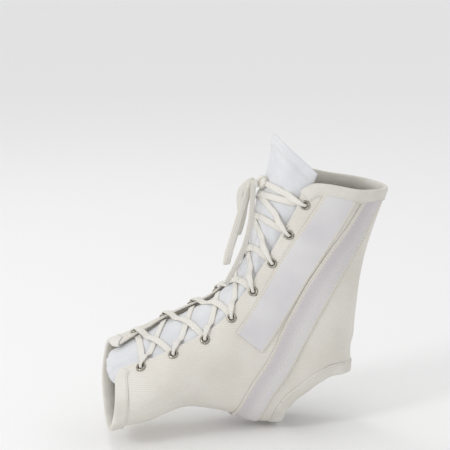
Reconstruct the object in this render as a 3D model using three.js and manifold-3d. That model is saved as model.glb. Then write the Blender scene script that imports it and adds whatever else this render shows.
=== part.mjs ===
// Laced canvas ankle brace, as it stands when it is filled and tied.
//
// Millimetres, +Z up. The origin is the middle of the ankle hollow. +X points to
// the heel, -X to the toes, and +Y to the far side, so the near side is -Y.
//
// Every piece follows one form: a fan of closed sections that starts at the toe
// opening, turns round the ankle and ends at the top edge. A place on the form is
// a turn in degrees (0 on the instep, 90 on the near side, 180 under the sole or
// on the heel, 270 on the far side) and a station (0 at the toe opening, 1 at the
// top edge). A height is measured outwards from the inner face of the canvas.

import * as THREE from 'three';
import { mergeVertices } from 'three/addons/utils/BufferGeometryUtils.js';
import Module from 'manifold-3d';

// Sizes of the form, all in millimetres from the middle of the ankle.
const TOE_REACH = 145;
const HEEL_REACH = 72;
const TOP_RISE = 119;
const SOLE_DROP = 71;
const FORM_HALF_WIDTH = 43;
const THROAT_HALF_GAP = FORM_HALF_WIDTH;
const SECTION_ROUND = 2.15;

// Cloth and seams.
const CANVAS_WALL = 2;
const TAPE_WALL = 0.7;
const TAPE_WIDTH = 9;
const CORNER_RADIUS = 11;
const PANEL_WALL = 1;
const PANEL_WIDTH = 25.2;
const STRAP_WALL = 1;
const STRAP_WIDTH = 21.6;
const SEAM_GAP = 0.4;
const FOLD_GAP = 0.95;
const LAYER_GAP = 0.7;
const TOP_CREST = 3;

// Tongue.
const TONGUE_WALL = 1.6;
const TONGUE_DEPTH = 3;
const TONGUE_LAP = 7;
const TONGUE_TOE_LENGTH = 9;
const TONGUE_SIDE_RISE = 10;
const TONGUE_PEAK_RISE = 33;
const TONGUE_FLARE = 7;

// Eyelets.
const EYELET_PAIRS = 8;
const EYELET_INSET = 5.5;
const EYELET_FLANGE_RADIUS = 3.7;
const EYELET_BARREL_RADIUS = 2.5;
const EYELET_HOLE_RADIUS = 1.95;
const EYELET_FLANGE_HEIGHT = 0.8;
const EYELET_SIDES = 8;
const FIRST_EYELET_STATION = 0.926;
const LAST_EYELET_STATION = 0.062;

// Lace.
const LACE_WIDTH = 5.2;
const LACE_THICKNESS = 1;
const LACE_GATHERED_WIDTH = 2.5;
const LACE_GATHERED_THICKNESS = 1.2;
const KNOT_STATION = 0.957;
const KNOT_TURN = 4;
const KNOT_HALF_WIDTH = 6.5;
const KNOT_HALF_HEIGHT = 5;
const KNOT_HALF_DEPTH = 3.4;

// The sections, from the toe opening to the top edge. front and back are the ends
// of the section on the instep and on the sole or heel: a share below 0 is of
// TOE_REACH (x) or SOLE_DROP (z), a share above 0 of HEEL_REACH (x) or TOP_RISE
// (z). width is a share of FORM_HALF_WIDTH, belly where the section is widest
// between front and back, flat how square the sole is, roll how far the section
// turns to the near side in degrees, and throat a share of THROAT_HALF_GAP.
const SECTION_COLUMNS = ['frontX', 'frontZ', 'backX', 'backZ', 'width', 'belly', 'flat', 'roll', 'throat'];
const SECTIONS = [
  [-0.95, -0.21, -1, -0.8, 1, 0.5, 2.7, 18, 0.33],
  [-0.745, 0, -0.81, -0.78, 1, 0.5, 2.7, 16, 0.5],
  [-0.56, 0.12, -0.61, -0.7, 0.95, 0.5, 2.6, 13, 0.59],
  [-0.415, 0.23, -0.41, -0.8, 0.91, 0.52, 2.6, 10, 0.56],
  [-0.32, 0.36, -0.165, -1, 0.86, 0.54, 2.5, 6, 0.5],
  [-0.26, 0.51, 0.25, -1.01, 0.81, 0.55, 2.3, 3, 0.57],
  [-0.235, 0.655, 0.585, -0.68, 0.79, 0.55, 2.2, 1, 0.73],
  [-0.215, 0.77, 0.65, -0.17, 0.79, 0.53, 2.1, 0, 0.85],
  [-0.195, 0.86, 0.71, 0.27, 0.84, 0.52, 2.1, 0, 0.93],
  [-0.172, 0.93, 0.82, 0.59, 0.88, 0.52, 2.1, 0, 0.98],
  [-0.15, 1, 1, 0.92, 0.95, 0.52, 2.1, 0, 1],
];

// Middle line of the side panel, from its lower end to past the top edge.
const PANEL_LINE = [
  { turn: 67, station: 0.385 },
  { turn: 58.5, station: 0.453 },
  { turn: 59.5, station: 0.579 },
  { turn: 73, station: 0.739 },
  { turn: 85, station: 0.856 },
  { turn: 92, station: 0.979 },
  { turn: 95, station: 1.06 },
];

// Middle line of the stirrup strap, from under the sole to past the top edge.
const STRAP_LINE = [
  { turn: 180, station: 0.36 },
  { turn: 156, station: 0.361 },
  { turn: 127, station: 0.369 },
  { turn: 109, station: 0.392 },
  { turn: 95, station: 0.423 },
  { turn: 82, station: 0.49 },
  { turn: 80, station: 0.565 },
  { turn: 87.5, station: 0.673 },
  { turn: 102.5, station: 0.777 },
  { turn: 115, station: 0.855 },
  { turn: 124, station: 0.916 },
  { turn: 129, station: 0.974 },
  { turn: 133, station: 1.06 },
];

// Near half of the heel opening's edge, from the heel round to the sole.
const HEEL_EDGE = [
  { turn: 180, station: 0.637 },
  { turn: 150, station: 0.626 },
  { turn: 128, station: 0.587 },
  { turn: 119.5, station: 0.545 },
  { turn: 117.5, station: 0.5 },
  { turn: 120.5, station: 0.455 },
  { turn: 130, station: 0.433 },
  { turn: 150, station: 0.426 },
  { turn: 180, station: 0.423 },
];

const HALF_TURN = 180;
const FULL_TURN = 360;
const TINY = 1e-3;

const canvas = { color: 0xe4dfd3, roughness: 0.95, metalness: 0 };
const quilted = { color: 0xecebe6, roughness: 0.95, metalness: 0 };
const binding = { color: 0xe9e5da, roughness: 0.85, metalness: 0 };
const satin = { color: 0xdfdde0, roughness: 0.7, metalness: 0 };
const webbing = { color: 0xdad6d8, roughness: 0.75, metalness: 0 };
const nickel = { color: 0xb9b2a4, roughness: 0.25, metalness: 1 };
const braid = { color: 0xf0ede2, roughness: 0.85, metalness: 0 };

const toSizeX = (share) => share * (share < 0 ? TOE_REACH : HEEL_REACH);
const toSizeZ = (share) => share * (share < 0 ? SOLE_DROP : TOP_RISE);

// Smooth curve through a list of numbers at t, straight past both ends.
function smooth(values, t) {
  const last = values.length - 1;
  const held = THREE.MathUtils.clamp(t, 0, last);
  const i = Math.min(Math.floor(held), last - 1);
  const f = held - i;
  const p1 = values[i];
  const p2 = values[i + 1];
  const p0 = i > 0 ? values[i - 1] : 2 * p1 - p2;
  const p3 = i < last - 1 ? values[i + 2] : 2 * p2 - p1;
  const inside = 0.5 * (2 * p1 + (p2 - p0) * f + (2 * p0 - 5 * p1 + 4 * p2 - p3) * f * f
    + (3 * p1 - p0 - 3 * p2 + p3) * f * f * f);
  const slope = t < 0 ? values[1] - values[0] : values[last] - values[last - 1];
  return inside + (t - held) * slope;
}

const COLUMNS = Object.fromEntries(
  SECTION_COLUMNS.map((name, k) => [name, SECTIONS.map((row) => row[k])]));
const column = (name, station) => smooth(COLUMNS[name], station * (SECTIONS.length - 1));

// Point of the form at a turn and a station, at height 0.
function form(turn, station) {
  const at = (name) => column(name, station);
  const front = new THREE.Vector3(toSizeX(at('frontX')), 0, toSizeZ(at('frontZ')));
  const back = new THREE.Vector3(toSizeX(at('backX')), 0, toSizeZ(at('backZ')));
  const angle = THREE.MathUtils.degToRad(turn);
  const c = Math.cos(angle);
  const s = Math.sin(angle);
  const power = c > 0 ? SECTION_ROUND : at('flat');
  const radius = (Math.abs(c) ** power + Math.abs(s) ** power) ** (-1 / power);
  const depth = front.distanceTo(back);
  const reach = c > 0 ? at('belly') : 1 - at('belly');
  const along = -c * radius * reach * depth;
  const across = -s * radius * at('width') * FORM_HALF_WIDTH;
  const roll = THREE.MathUtils.degToRad(at('roll'));
  const y = across * Math.cos(roll) + along * Math.sin(roll);
  const t = at('belly') + (along * Math.cos(roll) - across * Math.sin(roll)) / depth;
  return front.lerp(back, t).setY(y);
}

const turnSlope = (turn, station) => form(turn + TINY, station).sub(form(turn - TINY, station))
  .divideScalar(2 * TINY);
const stationSlope = (turn, station) => form(turn, station + TINY).sub(form(turn, station - TINY))
  .divideScalar(2 * TINY);
const outward = (turn, station) => turnSlope(turn, station).cross(stationSlope(turn, station)).normalize();

// Point at a height over the form.
function skin(turn, station, height) {
  return form(turn, station).addScaledVector(outward(turn, station), height);
}

// Moves a place over the form by a short vector that lies along it.
function shift(place, step) {
  const a = turnSlope(place.turn, place.station);
  const b = stationSlope(place.turn, place.station);
  const aa = a.dot(a);
  const ab = a.dot(b);
  const bb = b.dot(b);
  const det = aa * bb - ab * ab;
  const sa = step.dot(a);
  const sb = step.dot(b);
  return {
    turn: place.turn + (sa * bb - sb * ab) / det,
    station: place.station + (sb * aa - sa * ab) / det,
  };
}

// Walks a distance from a place, to the left of a heading, in short steps.
const STRIDE = 2;
function walkSideways(place, heading, distance) {
  const steps = Math.max(1, Math.ceil(Math.abs(distance) / STRIDE));
  let here = place;
  let ahead = heading.clone();
  for (let i = 0; i < steps; i++) {
    const normal = outward(here.turn, here.station);
    ahead = ahead.addScaledVector(normal, -ahead.dot(normal)).normalize();
    const side = normal.clone().cross(ahead);
    here = shift(here, side.multiplyScalar(distance / steps));
  }
  return here;
}

// Turn at which the way round the section from the instep has a given length.
function turnAt(station, length) {
  const step = 1;
  let turn = 0;
  let walked = 0;
  let last = form(0, station);
  while (turn < HALF_TURN) {
    const next = form(turn + step, station);
    const piece = next.distanceTo(last);
    if (walked + piece >= length) return turn + step * (length - walked) / piece;
    walked += piece;
    turn += step;
    last = next;
  }
  return turn;
}

const throatTurn = (station) => turnAt(station, column('throat', station) * THROAT_HALF_GAP);

// Smooth place along a list of places, t from 0 to 1.
function along(line, t) {
  const at = t * (line.length - 1);
  return {
    turn: smooth(line.map((p) => p.turn), at),
    station: smooth(line.map((p) => p.station), at),
  };
}

function headingAlong(line, t) {
  const step = 0.002;
  const a = along(line, t - step);
  const b = along(line, t + step);
  return form(b.turn, b.station).sub(form(a.turn, a.station)).normalize();
}

const mirrored = (place) => ({ turn: FULL_TURN - place.turn, station: place.station });

// Closed body from faces given as lists of corner numbers, turned to face out.
function body(points, triangles) {
  let volume = 0;
  for (const [a, b, c] of triangles) {
    volume += points[a].dot(points[b].clone().cross(points[c]));
  }
  const geometry = new THREE.BufferGeometry();
  geometry.setAttribute('position', new THREE.Float32BufferAttribute(
    points.flatMap((p) => [p.x, p.y, p.z]), 3));
  geometry.setIndex(triangles.flatMap(([a, b, c]) => (volume < 0 ? [a, c, b] : [a, b, c])));
  return geometry;
}

// Cloth between an outer and an inner grid of points, rows by columns.
function clothBody(outer, inner) {
  const rows = outer.length;
  const cols = outer[0].length;
  const points = [...outer.flat(), ...inner.flat()];
  const top = (i, j) => i * cols + j;
  const low = (i, j) => rows * cols + i * cols + j;
  const triangles = [];
  const quad = (a, b, c, d) => triangles.push([a, b, c], [a, c, d]);
  for (let i = 0; i < rows - 1; i++) {
    for (let j = 0; j < cols - 1; j++) {
      quad(top(i, j), top(i, j + 1), top(i + 1, j + 1), top(i + 1, j));
      quad(low(i, j), low(i + 1, j), low(i + 1, j + 1), low(i, j + 1));
    }
    quad(top(i, 0), top(i + 1, 0), low(i + 1, 0), low(i, 0));
    quad(top(i + 1, cols - 1), top(i, cols - 1), low(i, cols - 1), low(i + 1, cols - 1));
  }
  for (let j = 0; j < cols - 1; j++) {
    quad(top(0, j + 1), top(0, j), low(0, j), low(0, j + 1));
    quad(top(rows - 1, j), top(rows - 1, j + 1), low(rows - 1, j + 1), low(rows - 1, j));
  }
  return body(points, triangles);
}

// Body through a row of like sections, a ring when it is closed. caps holds the
// triangles that fill one section.
function sweptBody(sections, caps, closed = false) {
  const size = sections[0].length;
  const triangles = [];
  const links = closed ? sections.length : sections.length - 1;
  for (let i = 0; i < links; i++) {
    const here = i * size;
    const next = ((i + 1) % sections.length) * size;
    for (let k = 0; k < size; k++) {
      const l = (k + 1) % size;
      triangles.push([here + k, here + l, next + l], [here + k, next + l, next + k]);
    }
  }
  if (!closed) {
    const last = (sections.length - 1) * size;
    for (const [a, b, c] of caps) {
      triangles.push([a, c, b], [last + a, last + b, last + c]);
    }
  }
  return body(sections.flat(), triangles);
}

// Booleans on closed bodies.
const wasm = await Module();
wasm.setup();

function toSolid(geometry) {
  const bare = geometry.clone();
  bare.deleteAttribute('normal');
  bare.deleteAttribute('uv');
  const merged = mergeVertices(bare, 1e-4);
  return new wasm.Manifold(new wasm.Mesh({
    numProp: 3,
    vertProperties: new Float32Array(merged.attributes.position.array),
    triVerts: new Uint32Array(merged.index.array),
  }));
}

function fromSolid(solid) {
  const mesh = solid.getMesh();
  const geometry = new THREE.BufferGeometry();
  geometry.setAttribute('position', new THREE.BufferAttribute(new Float32Array(mesh.vertProperties), 3));
  geometry.setIndex(new THREE.BufferAttribute(new Uint32Array(mesh.triVerts), 1));
  return geometry;
}

const brace = new THREE.Group();

function addPiece(name, geometry, finish) {
  geometry.computeVertexNormals();
  const mesh = new THREE.Mesh(geometry, new THREE.MeshStandardMaterial(finish));
  mesh.name = name;
  brace.add(mesh);
  return mesh;
}

// How far the rounded corners pull the toe and top edges back from stations 0
// and 1, at a distance from the throat edge.
function cornerDrop(distance) {
  const left = Math.max(0, CORNER_RADIUS - distance);
  return CORNER_RADIUS - Math.sqrt(Math.max(0, CORNER_RADIUS ** 2 - left ** 2));
}

// The top edge stands highest over the front of each side.
const CREST_TURN = 72;
const CREST_SPREAD = 42;
function topCrest(turn) {
  const away = Math.abs(Math.min(turn, FULL_TURN - turn) - CREST_TURN) / CREST_SPREAD;
  return away < 1 ? Math.cos(away * Math.PI / 2) ** 2 : 0;
}

// Stations of the two ends of the canvas at a turn.
function edgeStation(turn, end) {
  const open = throatTurn(end);
  const turned = Math.min(turn, FULL_TURN - turn) - open;
  const distance = Math.max(0, turned) * turnSlope(turn, end).length();
  const crest = end === 1 ? TOP_CREST * topCrest(turn) : 0;
  const pull = (cornerDrop(distance) - crest) / stationSlope(turn, end).length();
  return end === 0 ? pull : 1 - pull;
}

// Place on the canvas: across is 0 at the near throat edge and 1 at the far one.
function canvasPlace(across, rise) {
  let station = rise;
  let turn = 0;
  for (let pass = 0; pass < 3; pass++) {
    const open = throatTurn(station);
    turn = open + across * (FULL_TURN - 2 * open);
    station = THREE.MathUtils.lerp(edgeStation(turn, 0), edgeStation(turn, 1), rise);
  }
  return { turn, station };
}

// Shares of a path over the form, from 0 to 1, that part it evenly. A turn of one
// radian counts as BEND_WEIGHT millimetres, so that sharp bends get more parts.
const BEND_WEIGHT = 22;
function spread(placeAt, count) {
  const samples = 200;
  const places = Array.from({ length: samples + 1 }, (_, i) => placeAt(i / samples));
  const walked = [0];
  for (let i = 1; i <= samples; i++) {
    const a = places[i - 1];
    const b = places[i];
    const way = form(a.turn, a.station).distanceTo(form(b.turn, b.station));
    const bend = outward(a.turn, a.station).angleTo(outward(b.turn, b.station));
    walked.push(walked[i - 1] + way + bend * BEND_WEIGHT);
  }
  return Array.from({ length: count + 1 }, (_, k) => {
    const goal = walked[samples] * k / count;
    const i = Math.max(1, walked.findIndex((w) => w >= goal - TINY));
    return (i - 1 + (goal - walked[i - 1]) / (walked[i] - walked[i - 1])) / samples;
  });
}

// Columns of the canvas: closest together at the rounded corners.
const CORNER_COLUMNS = [0, 0.006, 0.018, 0.036];
const LAST_CORNER_COLUMN = 0.06;
const OTHER_COLUMNS = 28;
function canvasColumns() {
  const acrossAt = (t) => THREE.MathUtils.lerp(LAST_CORNER_COLUMN, 1 - LAST_CORNER_COLUMN, t);
  const middle = spread((t) => canvasPlace(acrossAt(t), 0), OTHER_COLUMNS).map(acrossAt);
  return [...CORNER_COLUMNS, ...middle, ...CORNER_COLUMNS.map((c) => 1 - c).reverse()];
}

// Rows of the canvas, closest together at the toe edge and round the ankle.
const CANVAS_ROWS = 18;
const TOE_ROWS = [0, 0.02];
const SOLE_CORNER = 0.36;
function canvasRows() {
  const first = 2 * TOE_ROWS[1];
  const riseAt = (t) => THREE.MathUtils.lerp(first, 1, t);
  return [...TOE_ROWS, ...spread((t) => canvasPlace(SOLE_CORNER, riseAt(t)), CANVAS_ROWS).map(riseAt)];
}

// Heel opening: the closed edge, near half then far half.
const HEEL_SAMPLES = 18;
const HEEL_MIDDLE = { turn: 180, station: 0.52 };
function heelEdge() {
  const near = Array.from({ length: HEEL_SAMPLES + 1 }, (_, i) => along(HEEL_EDGE, i / HEEL_SAMPLES));
  const far = near.slice(1, -1).reverse().map(mirrored);
  return [...near, ...far];
}

// Body that cuts the heel opening, thick enough to pass through the bent canvas.
const HEEL_CUT_REACH = 8;
const HEEL_CUT_RINGS = [0.5, 1];
function heelPlug() {
  const edge = heelEdge();
  const rings = HEEL_CUT_RINGS;
  const points = [];
  const triangles = [];
  const n = edge.length;
  for (const height of [HEEL_CUT_REACH, -HEEL_CUT_REACH]) {
    points.push(skin(HEEL_MIDDLE.turn, HEEL_MIDDLE.station, height));
    for (const share of rings) {
      for (const place of edge) {
        points.push(skin(
          THREE.MathUtils.lerp(HEEL_MIDDLE.turn, place.turn, share),
          THREE.MathUtils.lerp(HEEL_MIDDLE.station, place.station, share), height));
      }
    }
  }
  const layer = 1 + rings.length * n;
  const at = (side, ring, k) => side * layer + 1 + ring * n + (k % n);
  for (let k = 0; k < n; k++) {
    triangles.push([0, at(0, 0, k), at(0, 0, k + 1)], [layer, at(1, 0, k + 1), at(1, 0, k)]);
    triangles.push([at(0, 0, k), at(0, 1, k), at(0, 1, k + 1)]);
    triangles.push([at(0, 0, k), at(0, 1, k + 1), at(0, 0, k + 1)]);
    triangles.push([at(1, 0, k), at(1, 1, k + 1), at(1, 1, k)]);
    triangles.push([at(1, 0, k), at(1, 0, k + 1), at(1, 1, k + 1)]);
    triangles.push([at(0, 1, k), at(1, 1, k), at(1, 1, k + 1)]);
    triangles.push([at(0, 1, k), at(1, 1, k + 1), at(0, 1, k + 1)]);
  }
  return body(points, triangles);
}

// Eyelet places on the near side, evenly spaced along the facing, top first.
function eyeletPlaces() {
  const samples = 60;
  const places = [];
  for (let i = 0; i <= samples; i++) {
    const station = THREE.MathUtils.lerp(FIRST_EYELET_STATION, LAST_EYELET_STATION, i / samples);
    const length = column('throat', station) * THROAT_HALF_GAP + EYELET_INSET;
    places.push({ turn: turnAt(station, length), station });
  }
  const walked = [0];
  for (let i = 1; i <= samples; i++) {
    const a = form(places[i - 1].turn, places[i - 1].station);
    walked.push(walked[i - 1] + a.distanceTo(form(places[i].turn, places[i].station)));
  }
  return Array.from({ length: EYELET_PAIRS }, (_, k) => {
    const goal = walked[samples] * k / (EYELET_PAIRS - 1);
    const i = Math.min(samples - 1, Math.max(0, walked.findIndex((w) => w >= goal) - 1));
    const f = (goal - walked[i]) / (walked[i + 1] - walked[i]);
    return {
      turn: THREE.MathUtils.lerp(places[i].turn, places[i + 1].turn, f),
      station: THREE.MathUtils.lerp(places[i].station, places[i + 1].station, f),
    };
  });
}

const nearEyelets = eyeletPlaces();
const farEyelets = nearEyelets.map((p) => ({ turn: -p.turn, station: p.station }));

function seatOnForm(object, place, height) {
  const normal = outward(place.turn, place.station);
  object.position.copy(skin(place.turn, place.station, height));
  object.quaternion.setFromUnitVectors(new THREE.Vector3(0, 1, 0), normal);
  return object;
}

const DRILL_LENGTH = 12;
function drillBody(place) {
  const radius = EYELET_BARREL_RADIUS + SEAM_GAP;
  const geometry = new THREE.CylinderGeometry(radius, radius, DRILL_LENGTH, EYELET_SIDES);
  const drill = seatOnForm(new THREE.Mesh(geometry), place, CANVAS_WALL / 2);
  drill.updateMatrix();
  return drill.geometry.applyMatrix4(drill.matrix);
}

function canvasShell() {
  const columns = canvasColumns();
  const grid = (height) => canvasRows().map((rise) => columns.map((across) => {
    const { turn, station } = canvasPlace(across, rise);
    return skin(turn, station, height);
  }));
  let solid = toSolid(clothBody(grid(CANVAS_WALL), grid(0)));
  solid = solid.subtract(toSolid(heelPlug()));
  for (const place of [...nearEyelets, ...farEyelets]) {
    solid = solid.subtract(toSolid(drillBody(place)));
  }
  return fromSolid(solid);
}

// Tape folded over an edge of the canvas, as a U section. Its profile is a way in
// from the edge and a height, and caps fills it with triangles.
const TAPE_PROFILE = [
  [TAPE_WIDTH, CANVAS_WALL + FOLD_GAP],
  [TAPE_WIDTH, CANVAS_WALL + FOLD_GAP + TAPE_WALL],
  [-SEAM_GAP, CANVAS_WALL + FOLD_GAP + TAPE_WALL],
  [-SEAM_GAP - TAPE_WALL, CANVAS_WALL / 2],
  [-SEAM_GAP, -FOLD_GAP - TAPE_WALL],
  [TAPE_WIDTH, -FOLD_GAP - TAPE_WALL],
  [TAPE_WIDTH, -FOLD_GAP],
  [-SEAM_GAP, -FOLD_GAP],
  [-SEAM_GAP, CANVAS_WALL + FOLD_GAP],
];
const TAPE_CAPS = THREE.ShapeUtils.triangulateShape(
  TAPE_PROFILE.map(([x, y]) => new THREE.Vector2(x, y)), []);

// inside is 1 when the canvas lies to the left of the way the edge runs.
function tapeAlong(edge, inside, closed) {
  const points = edge.map((p) => form(p.turn, p.station));
  const sections = edge.map((place, i) => {
    const before = closed ? (i + edge.length - 1) % edge.length : Math.max(0, i - 1);
    const after = closed ? (i + 1) % edge.length : Math.min(edge.length - 1, i + 1);
    const heading = points[after].clone().sub(points[before]).normalize();
    return TAPE_PROFILE.map(([depth, height]) => {
      const there = walkSideways(place, heading, inside * depth);
      return skin(there.turn, there.station, height);
    });
  });
  return sweptBody(sections, TAPE_CAPS, closed);
}

// Edge of the canvas at the toe opening or the top, from throat to throat.
function endEdge(end) {
  return canvasColumns().map((across) => canvasPlace(across, end));
}

// Flat band that follows a line over the form and ends under the top tape.
const BAND_COLUMNS = [-0.5, -0.17, 0.17, 0.5];
const HALVINGS = 24;
function bandRows(line, width, rows) {
  const offsets = BAND_COLUMNS.map((share) => share * width);
  const clear = TAPE_WIDTH + 2 * SEAM_GAP;
  const placeAt = (t, side) => walkSideways(along(line, t), headingAlong(line, t), side);
  const ends = offsets.map((side) => {
    let low = 0.5;
    let high = 1;
    for (let pass = 0; pass < HALVINGS; pass++) {
      const t = (low + high) / 2;
      const { turn, station } = placeAt(t, side);
      const limit = edgeStation(turn, 1) - clear / stationSlope(turn, 1).length();
      if (station < limit) low = t;
      else high = t;
    }
    return low;
  });
  const last = Math.min(...ends);
  return spread((t) => along(line, t * last), rows).map((share) => offsets.map((side, j) => {
    return placeAt(share * ends[j], side);
  }));
}

function bandBody(rows, wall) {
  const base = CANVAS_WALL + LAYER_GAP;
  const grid = (height) => rows.map((row) => row.map((p) => skin(p.turn, p.station, height)));
  return clothBody(grid(base + wall), grid(base));
}

const mirrorRows = (rows) => rows.map((row) => row.map(mirrored));

// Tongue: under the lacing, past the toe edge with a rounded end, and past the
// top edge with a gabled end that leans a little forward. Its rows are spread along
// a line near its side.
const TONGUE_ROWS = 21;
const TONGUE_COLUMNS = 8;
const TONGUE_SIDE_TURN = 25;
const TONGUE_TOE_ROUND = 0.9;
const TONGUE_GABLE = 1.2;
function tonguePoint(across, along01, height) {
  const toeLength = TONGUE_TOE_LENGTH * Math.sqrt(1 - TONGUE_TOE_ROUND * across * across);
  const peak = TONGUE_PEAK_RISE - TONGUE_SIDE_RISE;
  const rise = TONGUE_SIDE_RISE + peak * (1 - Math.abs(across) ** TONGUE_GABLE);
  const toe = -toeLength / stationSlope(0, 0).length();
  const top = 1 + rise / stationSlope(0, 1).length();
  const station = THREE.MathUtils.lerp(toe, top, along01);
  const held = THREE.MathUtils.clamp(station, 0, 1);
  const half = column('throat', held) * THROAT_HALF_GAP + TONGUE_LAP;
  const turn = Math.sign(across) * turnAt(held, Math.abs(across) * half);
  const over = Math.max(0, station - 1) * stationSlope(0, 1).length() / TONGUE_PEAK_RISE;
  const point = skin(turn, held, height - TONGUE_DEPTH + TONGUE_FLARE * over * over);
  return point.addScaledVector(stationSlope(turn, held).normalize(),
    (station - held) * stationSlope(0, held).length());
}

function tongueBody() {
  const cols = TONGUE_COLUMNS;
  const rows = spread((t) => ({ turn: TONGUE_SIDE_TURN, station: t }), TONGUE_ROWS);
  const grid = (height) => rows.map((t) =>
    Array.from({ length: cols + 1 }, (_, j) => tonguePoint((2 * j) / cols - 1, t, height)));
  return clothBody(grid(0), grid(-TONGUE_WALL));
}

function eyeletBody() {
  const base = CANVAS_WALL + SEAM_GAP;
  const profile = [
    [EYELET_HOLE_RADIUS, -SEAM_GAP],
    [EYELET_BARREL_RADIUS, -SEAM_GAP],
    [EYELET_BARREL_RADIUS, base],
    [EYELET_FLANGE_RADIUS, base],
    [EYELET_HOLE_RADIUS, base + EYELET_FLANGE_HEIGHT],
    [EYELET_HOLE_RADIUS, -SEAM_GAP],
  ].map(([r, h]) => new THREE.Vector2(r, h));
  return new THREE.LatheGeometry(profile, EYELET_SIDES);
}

// Heights of the lace's middle over the form.
const ON_TONGUE = -TONGUE_DEPTH + 2 * SEAM_GAP + LACE_THICKNESS / 2;
const LACE_CROSSING = LACE_THICKNESS + SEAM_GAP;
const UNDER_CANVAS = -TAPE_WALL - 2 * SEAM_GAP;
const ON_CANVAS = CANVAS_WALL + 2 * SEAM_GAP + LACE_THICKNESS / 2;
const ON_FLANGE = CANVAS_WALL + 2.5 * SEAM_GAP + EYELET_FLANGE_HEIGHT + LACE_GATHERED_THICKNESS / 2;

// The lace leaves an eyelet over its flange and the facing's edge, and comes to
// one under the canvas. way is the distance from the eyelet, gather how far the
// flat lace is drawn together there.
const LACE_OUT = [
  { way: -0.3, height: CANVAS_WALL / 2, gather: 1 },
  { way: -0.3, height: CANVAS_WALL + 1, gather: 1 },
  { way: 1, height: ON_FLANGE, gather: 1 },
  { way: 3, height: ON_FLANGE, gather: 0.8 },
  { way: 5.4, height: ON_FLANGE - 0.5, gather: 0.3 },
  { way: 8.6, height: ON_CANVAS, gather: 0 },
  { way: 11.4, height: (ON_CANVAS + ON_TONGUE) / 2, gather: 0 },
  { way: 14.6, height: ON_TONGUE, gather: 0 },
];
const LACE_IN = [
  { way: 8, height: UNDER_CANVAS, gather: 0 },
  { way: 3.4, height: UNDER_CANVAS, gather: 0.3 },
  { way: 0.8, height: UNDER_CANVAS + 0.1, gather: 1 },
  { way: 0, height: 0.2, gather: 1 },
];
const LACE_STEP = 7.5;
const CROSSING_REACH = 6;
const CROSSING_RUN = 4;

// Points of the lace between two places, from listed heights at both ends.
function laceRun(from, to, first, last, heightBetween) {
  const placeAt = (t) => ({
    turn: THREE.MathUtils.lerp(from.turn, to.turn, t),
    station: THREE.MathUtils.lerp(from.station, to.station, t),
  });
  const samples = 24;
  let length = 0;
  for (let i = 0; i < samples; i++) {
    const a = placeAt(i / samples);
    const b = placeAt((i + 1) / samples);
    length += form(a.turn, a.station).distanceTo(form(b.turn, b.station));
  }
  const start = first[first.length - 1].way;
  const end = length - last[0].way;
  const count = Math.max(1, Math.round((end - start) / LACE_STEP) - 1);
  const middle = Array.from({ length: count }, (_, i) => {
    const way = THREE.MathUtils.lerp(start, end, (i + 1) / (count + 1));
    return { way, height: heightBetween(way, length), gather: 0 };
  });
  const rows = [...first, ...middle, ...last.map((row) => ({ ...row, way: length - row.way }))];
  return rows.map(({ way, height, gather }) => {
    const t = way / length;
    const here = placeAt(t);
    const ahead = placeAt(t + TINY);
    const heading = form(ahead.turn, ahead.station).sub(form(here.turn, here.station));
    const normal = outward(here.turn, here.station);
    return {
      point: skin(here.turn, here.station, height),
      side: normal.cross(heading).normalize(),
      width: THREE.MathUtils.lerp(LACE_WIDTH, LACE_GATHERED_WIDTH, gather),
      thickness: THREE.MathUtils.lerp(LACE_THICKNESS, LACE_GATHERED_THICKNESS, gather),
    };
  });
}

// One crossing, from an eyelet outwards over the tongue to the next one up on the
// other side. The strand on top rises over the one below it.
function crossing(lower, upper, onTop) {
  return laceRun(lower, upper, LACE_OUT, LACE_IN, (way, length) => {
    const middle = length * lower.turn / (lower.turn - upper.turn);
    const away = Math.max(0, Math.abs(way - middle) - CROSSING_REACH) / CROSSING_RUN;
    return ON_TONGUE + (onTop ? LACE_CROSSING * Math.max(0, 1 - away) : 0);
  });
}

// From the top eyelet over the tongue to the side of the knot.
function tie(eyelet, sign) {
  const beside = KNOT_HALF_WIDTH + SEAM_GAP;
  const turn = sign * turnAt(KNOT_STATION, beside) + KNOT_TURN;
  const end = [{ way: 0, height: ON_TONGUE + KNOT_HALF_DEPTH / 2, gather: 0.4 }];
  return laceRun(eyelet, { turn, station: KNOT_STATION }, LACE_OUT, end, () => ON_TONGUE);
}

// The whole lace: from the knot down through alternate eyelets, straight across
// under the lowest pair, and back up through the other ones to the knot.
function lacePath() {
  const sides = [nearEyelets, farEyelets];
  const last = EYELET_PAIRS - 1;
  const down = [tie(nearEyelets[0], 1).reverse()];
  const up = [];
  for (let k = 0; k < last; k++) {
    down.push(crossing(sides[(k + 1) % 2][k + 1], sides[k % 2][k], k % 2 === 0).reverse());
    up.unshift(crossing(sides[k % 2][k + 1], sides[(k + 1) % 2][k], k % 2 === 1));
  }
  const under = LACE_IN.slice().reverse();
  const bar = laceRun(sides[last % 2][last], sides[(last + 1) % 2][last], under, LACE_IN, () => ON_TONGUE);
  return [...down, bar, ...up, tie(farEyelets[0], -1)].flat();
}

function laceBody() {
  const path = lacePath();
  let before = path[0].side;
  const sections = path.map(({ point, side, width, thickness }, i) => {
    const tangent = path[Math.min(i + 1, path.length - 1)].point.clone()
      .sub(path[Math.max(i - 1, 0)].point).normalize();
    const flat = side.clone().addScaledVector(tangent, -side.dot(tangent)).normalize();
    if (flat.dot(before) < 0) flat.negate();
    before = flat;
    const face = tangent.clone().cross(flat);
    return [[-1, -1], [1, -1], [1, 1], [-1, 1]].map(([a, b]) => point.clone()
      .addScaledVector(flat, a * width / 2).addScaledVector(face, b * thickness / 2));
  });
  return sweptBody(sections, [[0, 1, 2], [0, 2, 3]]);
}

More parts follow.
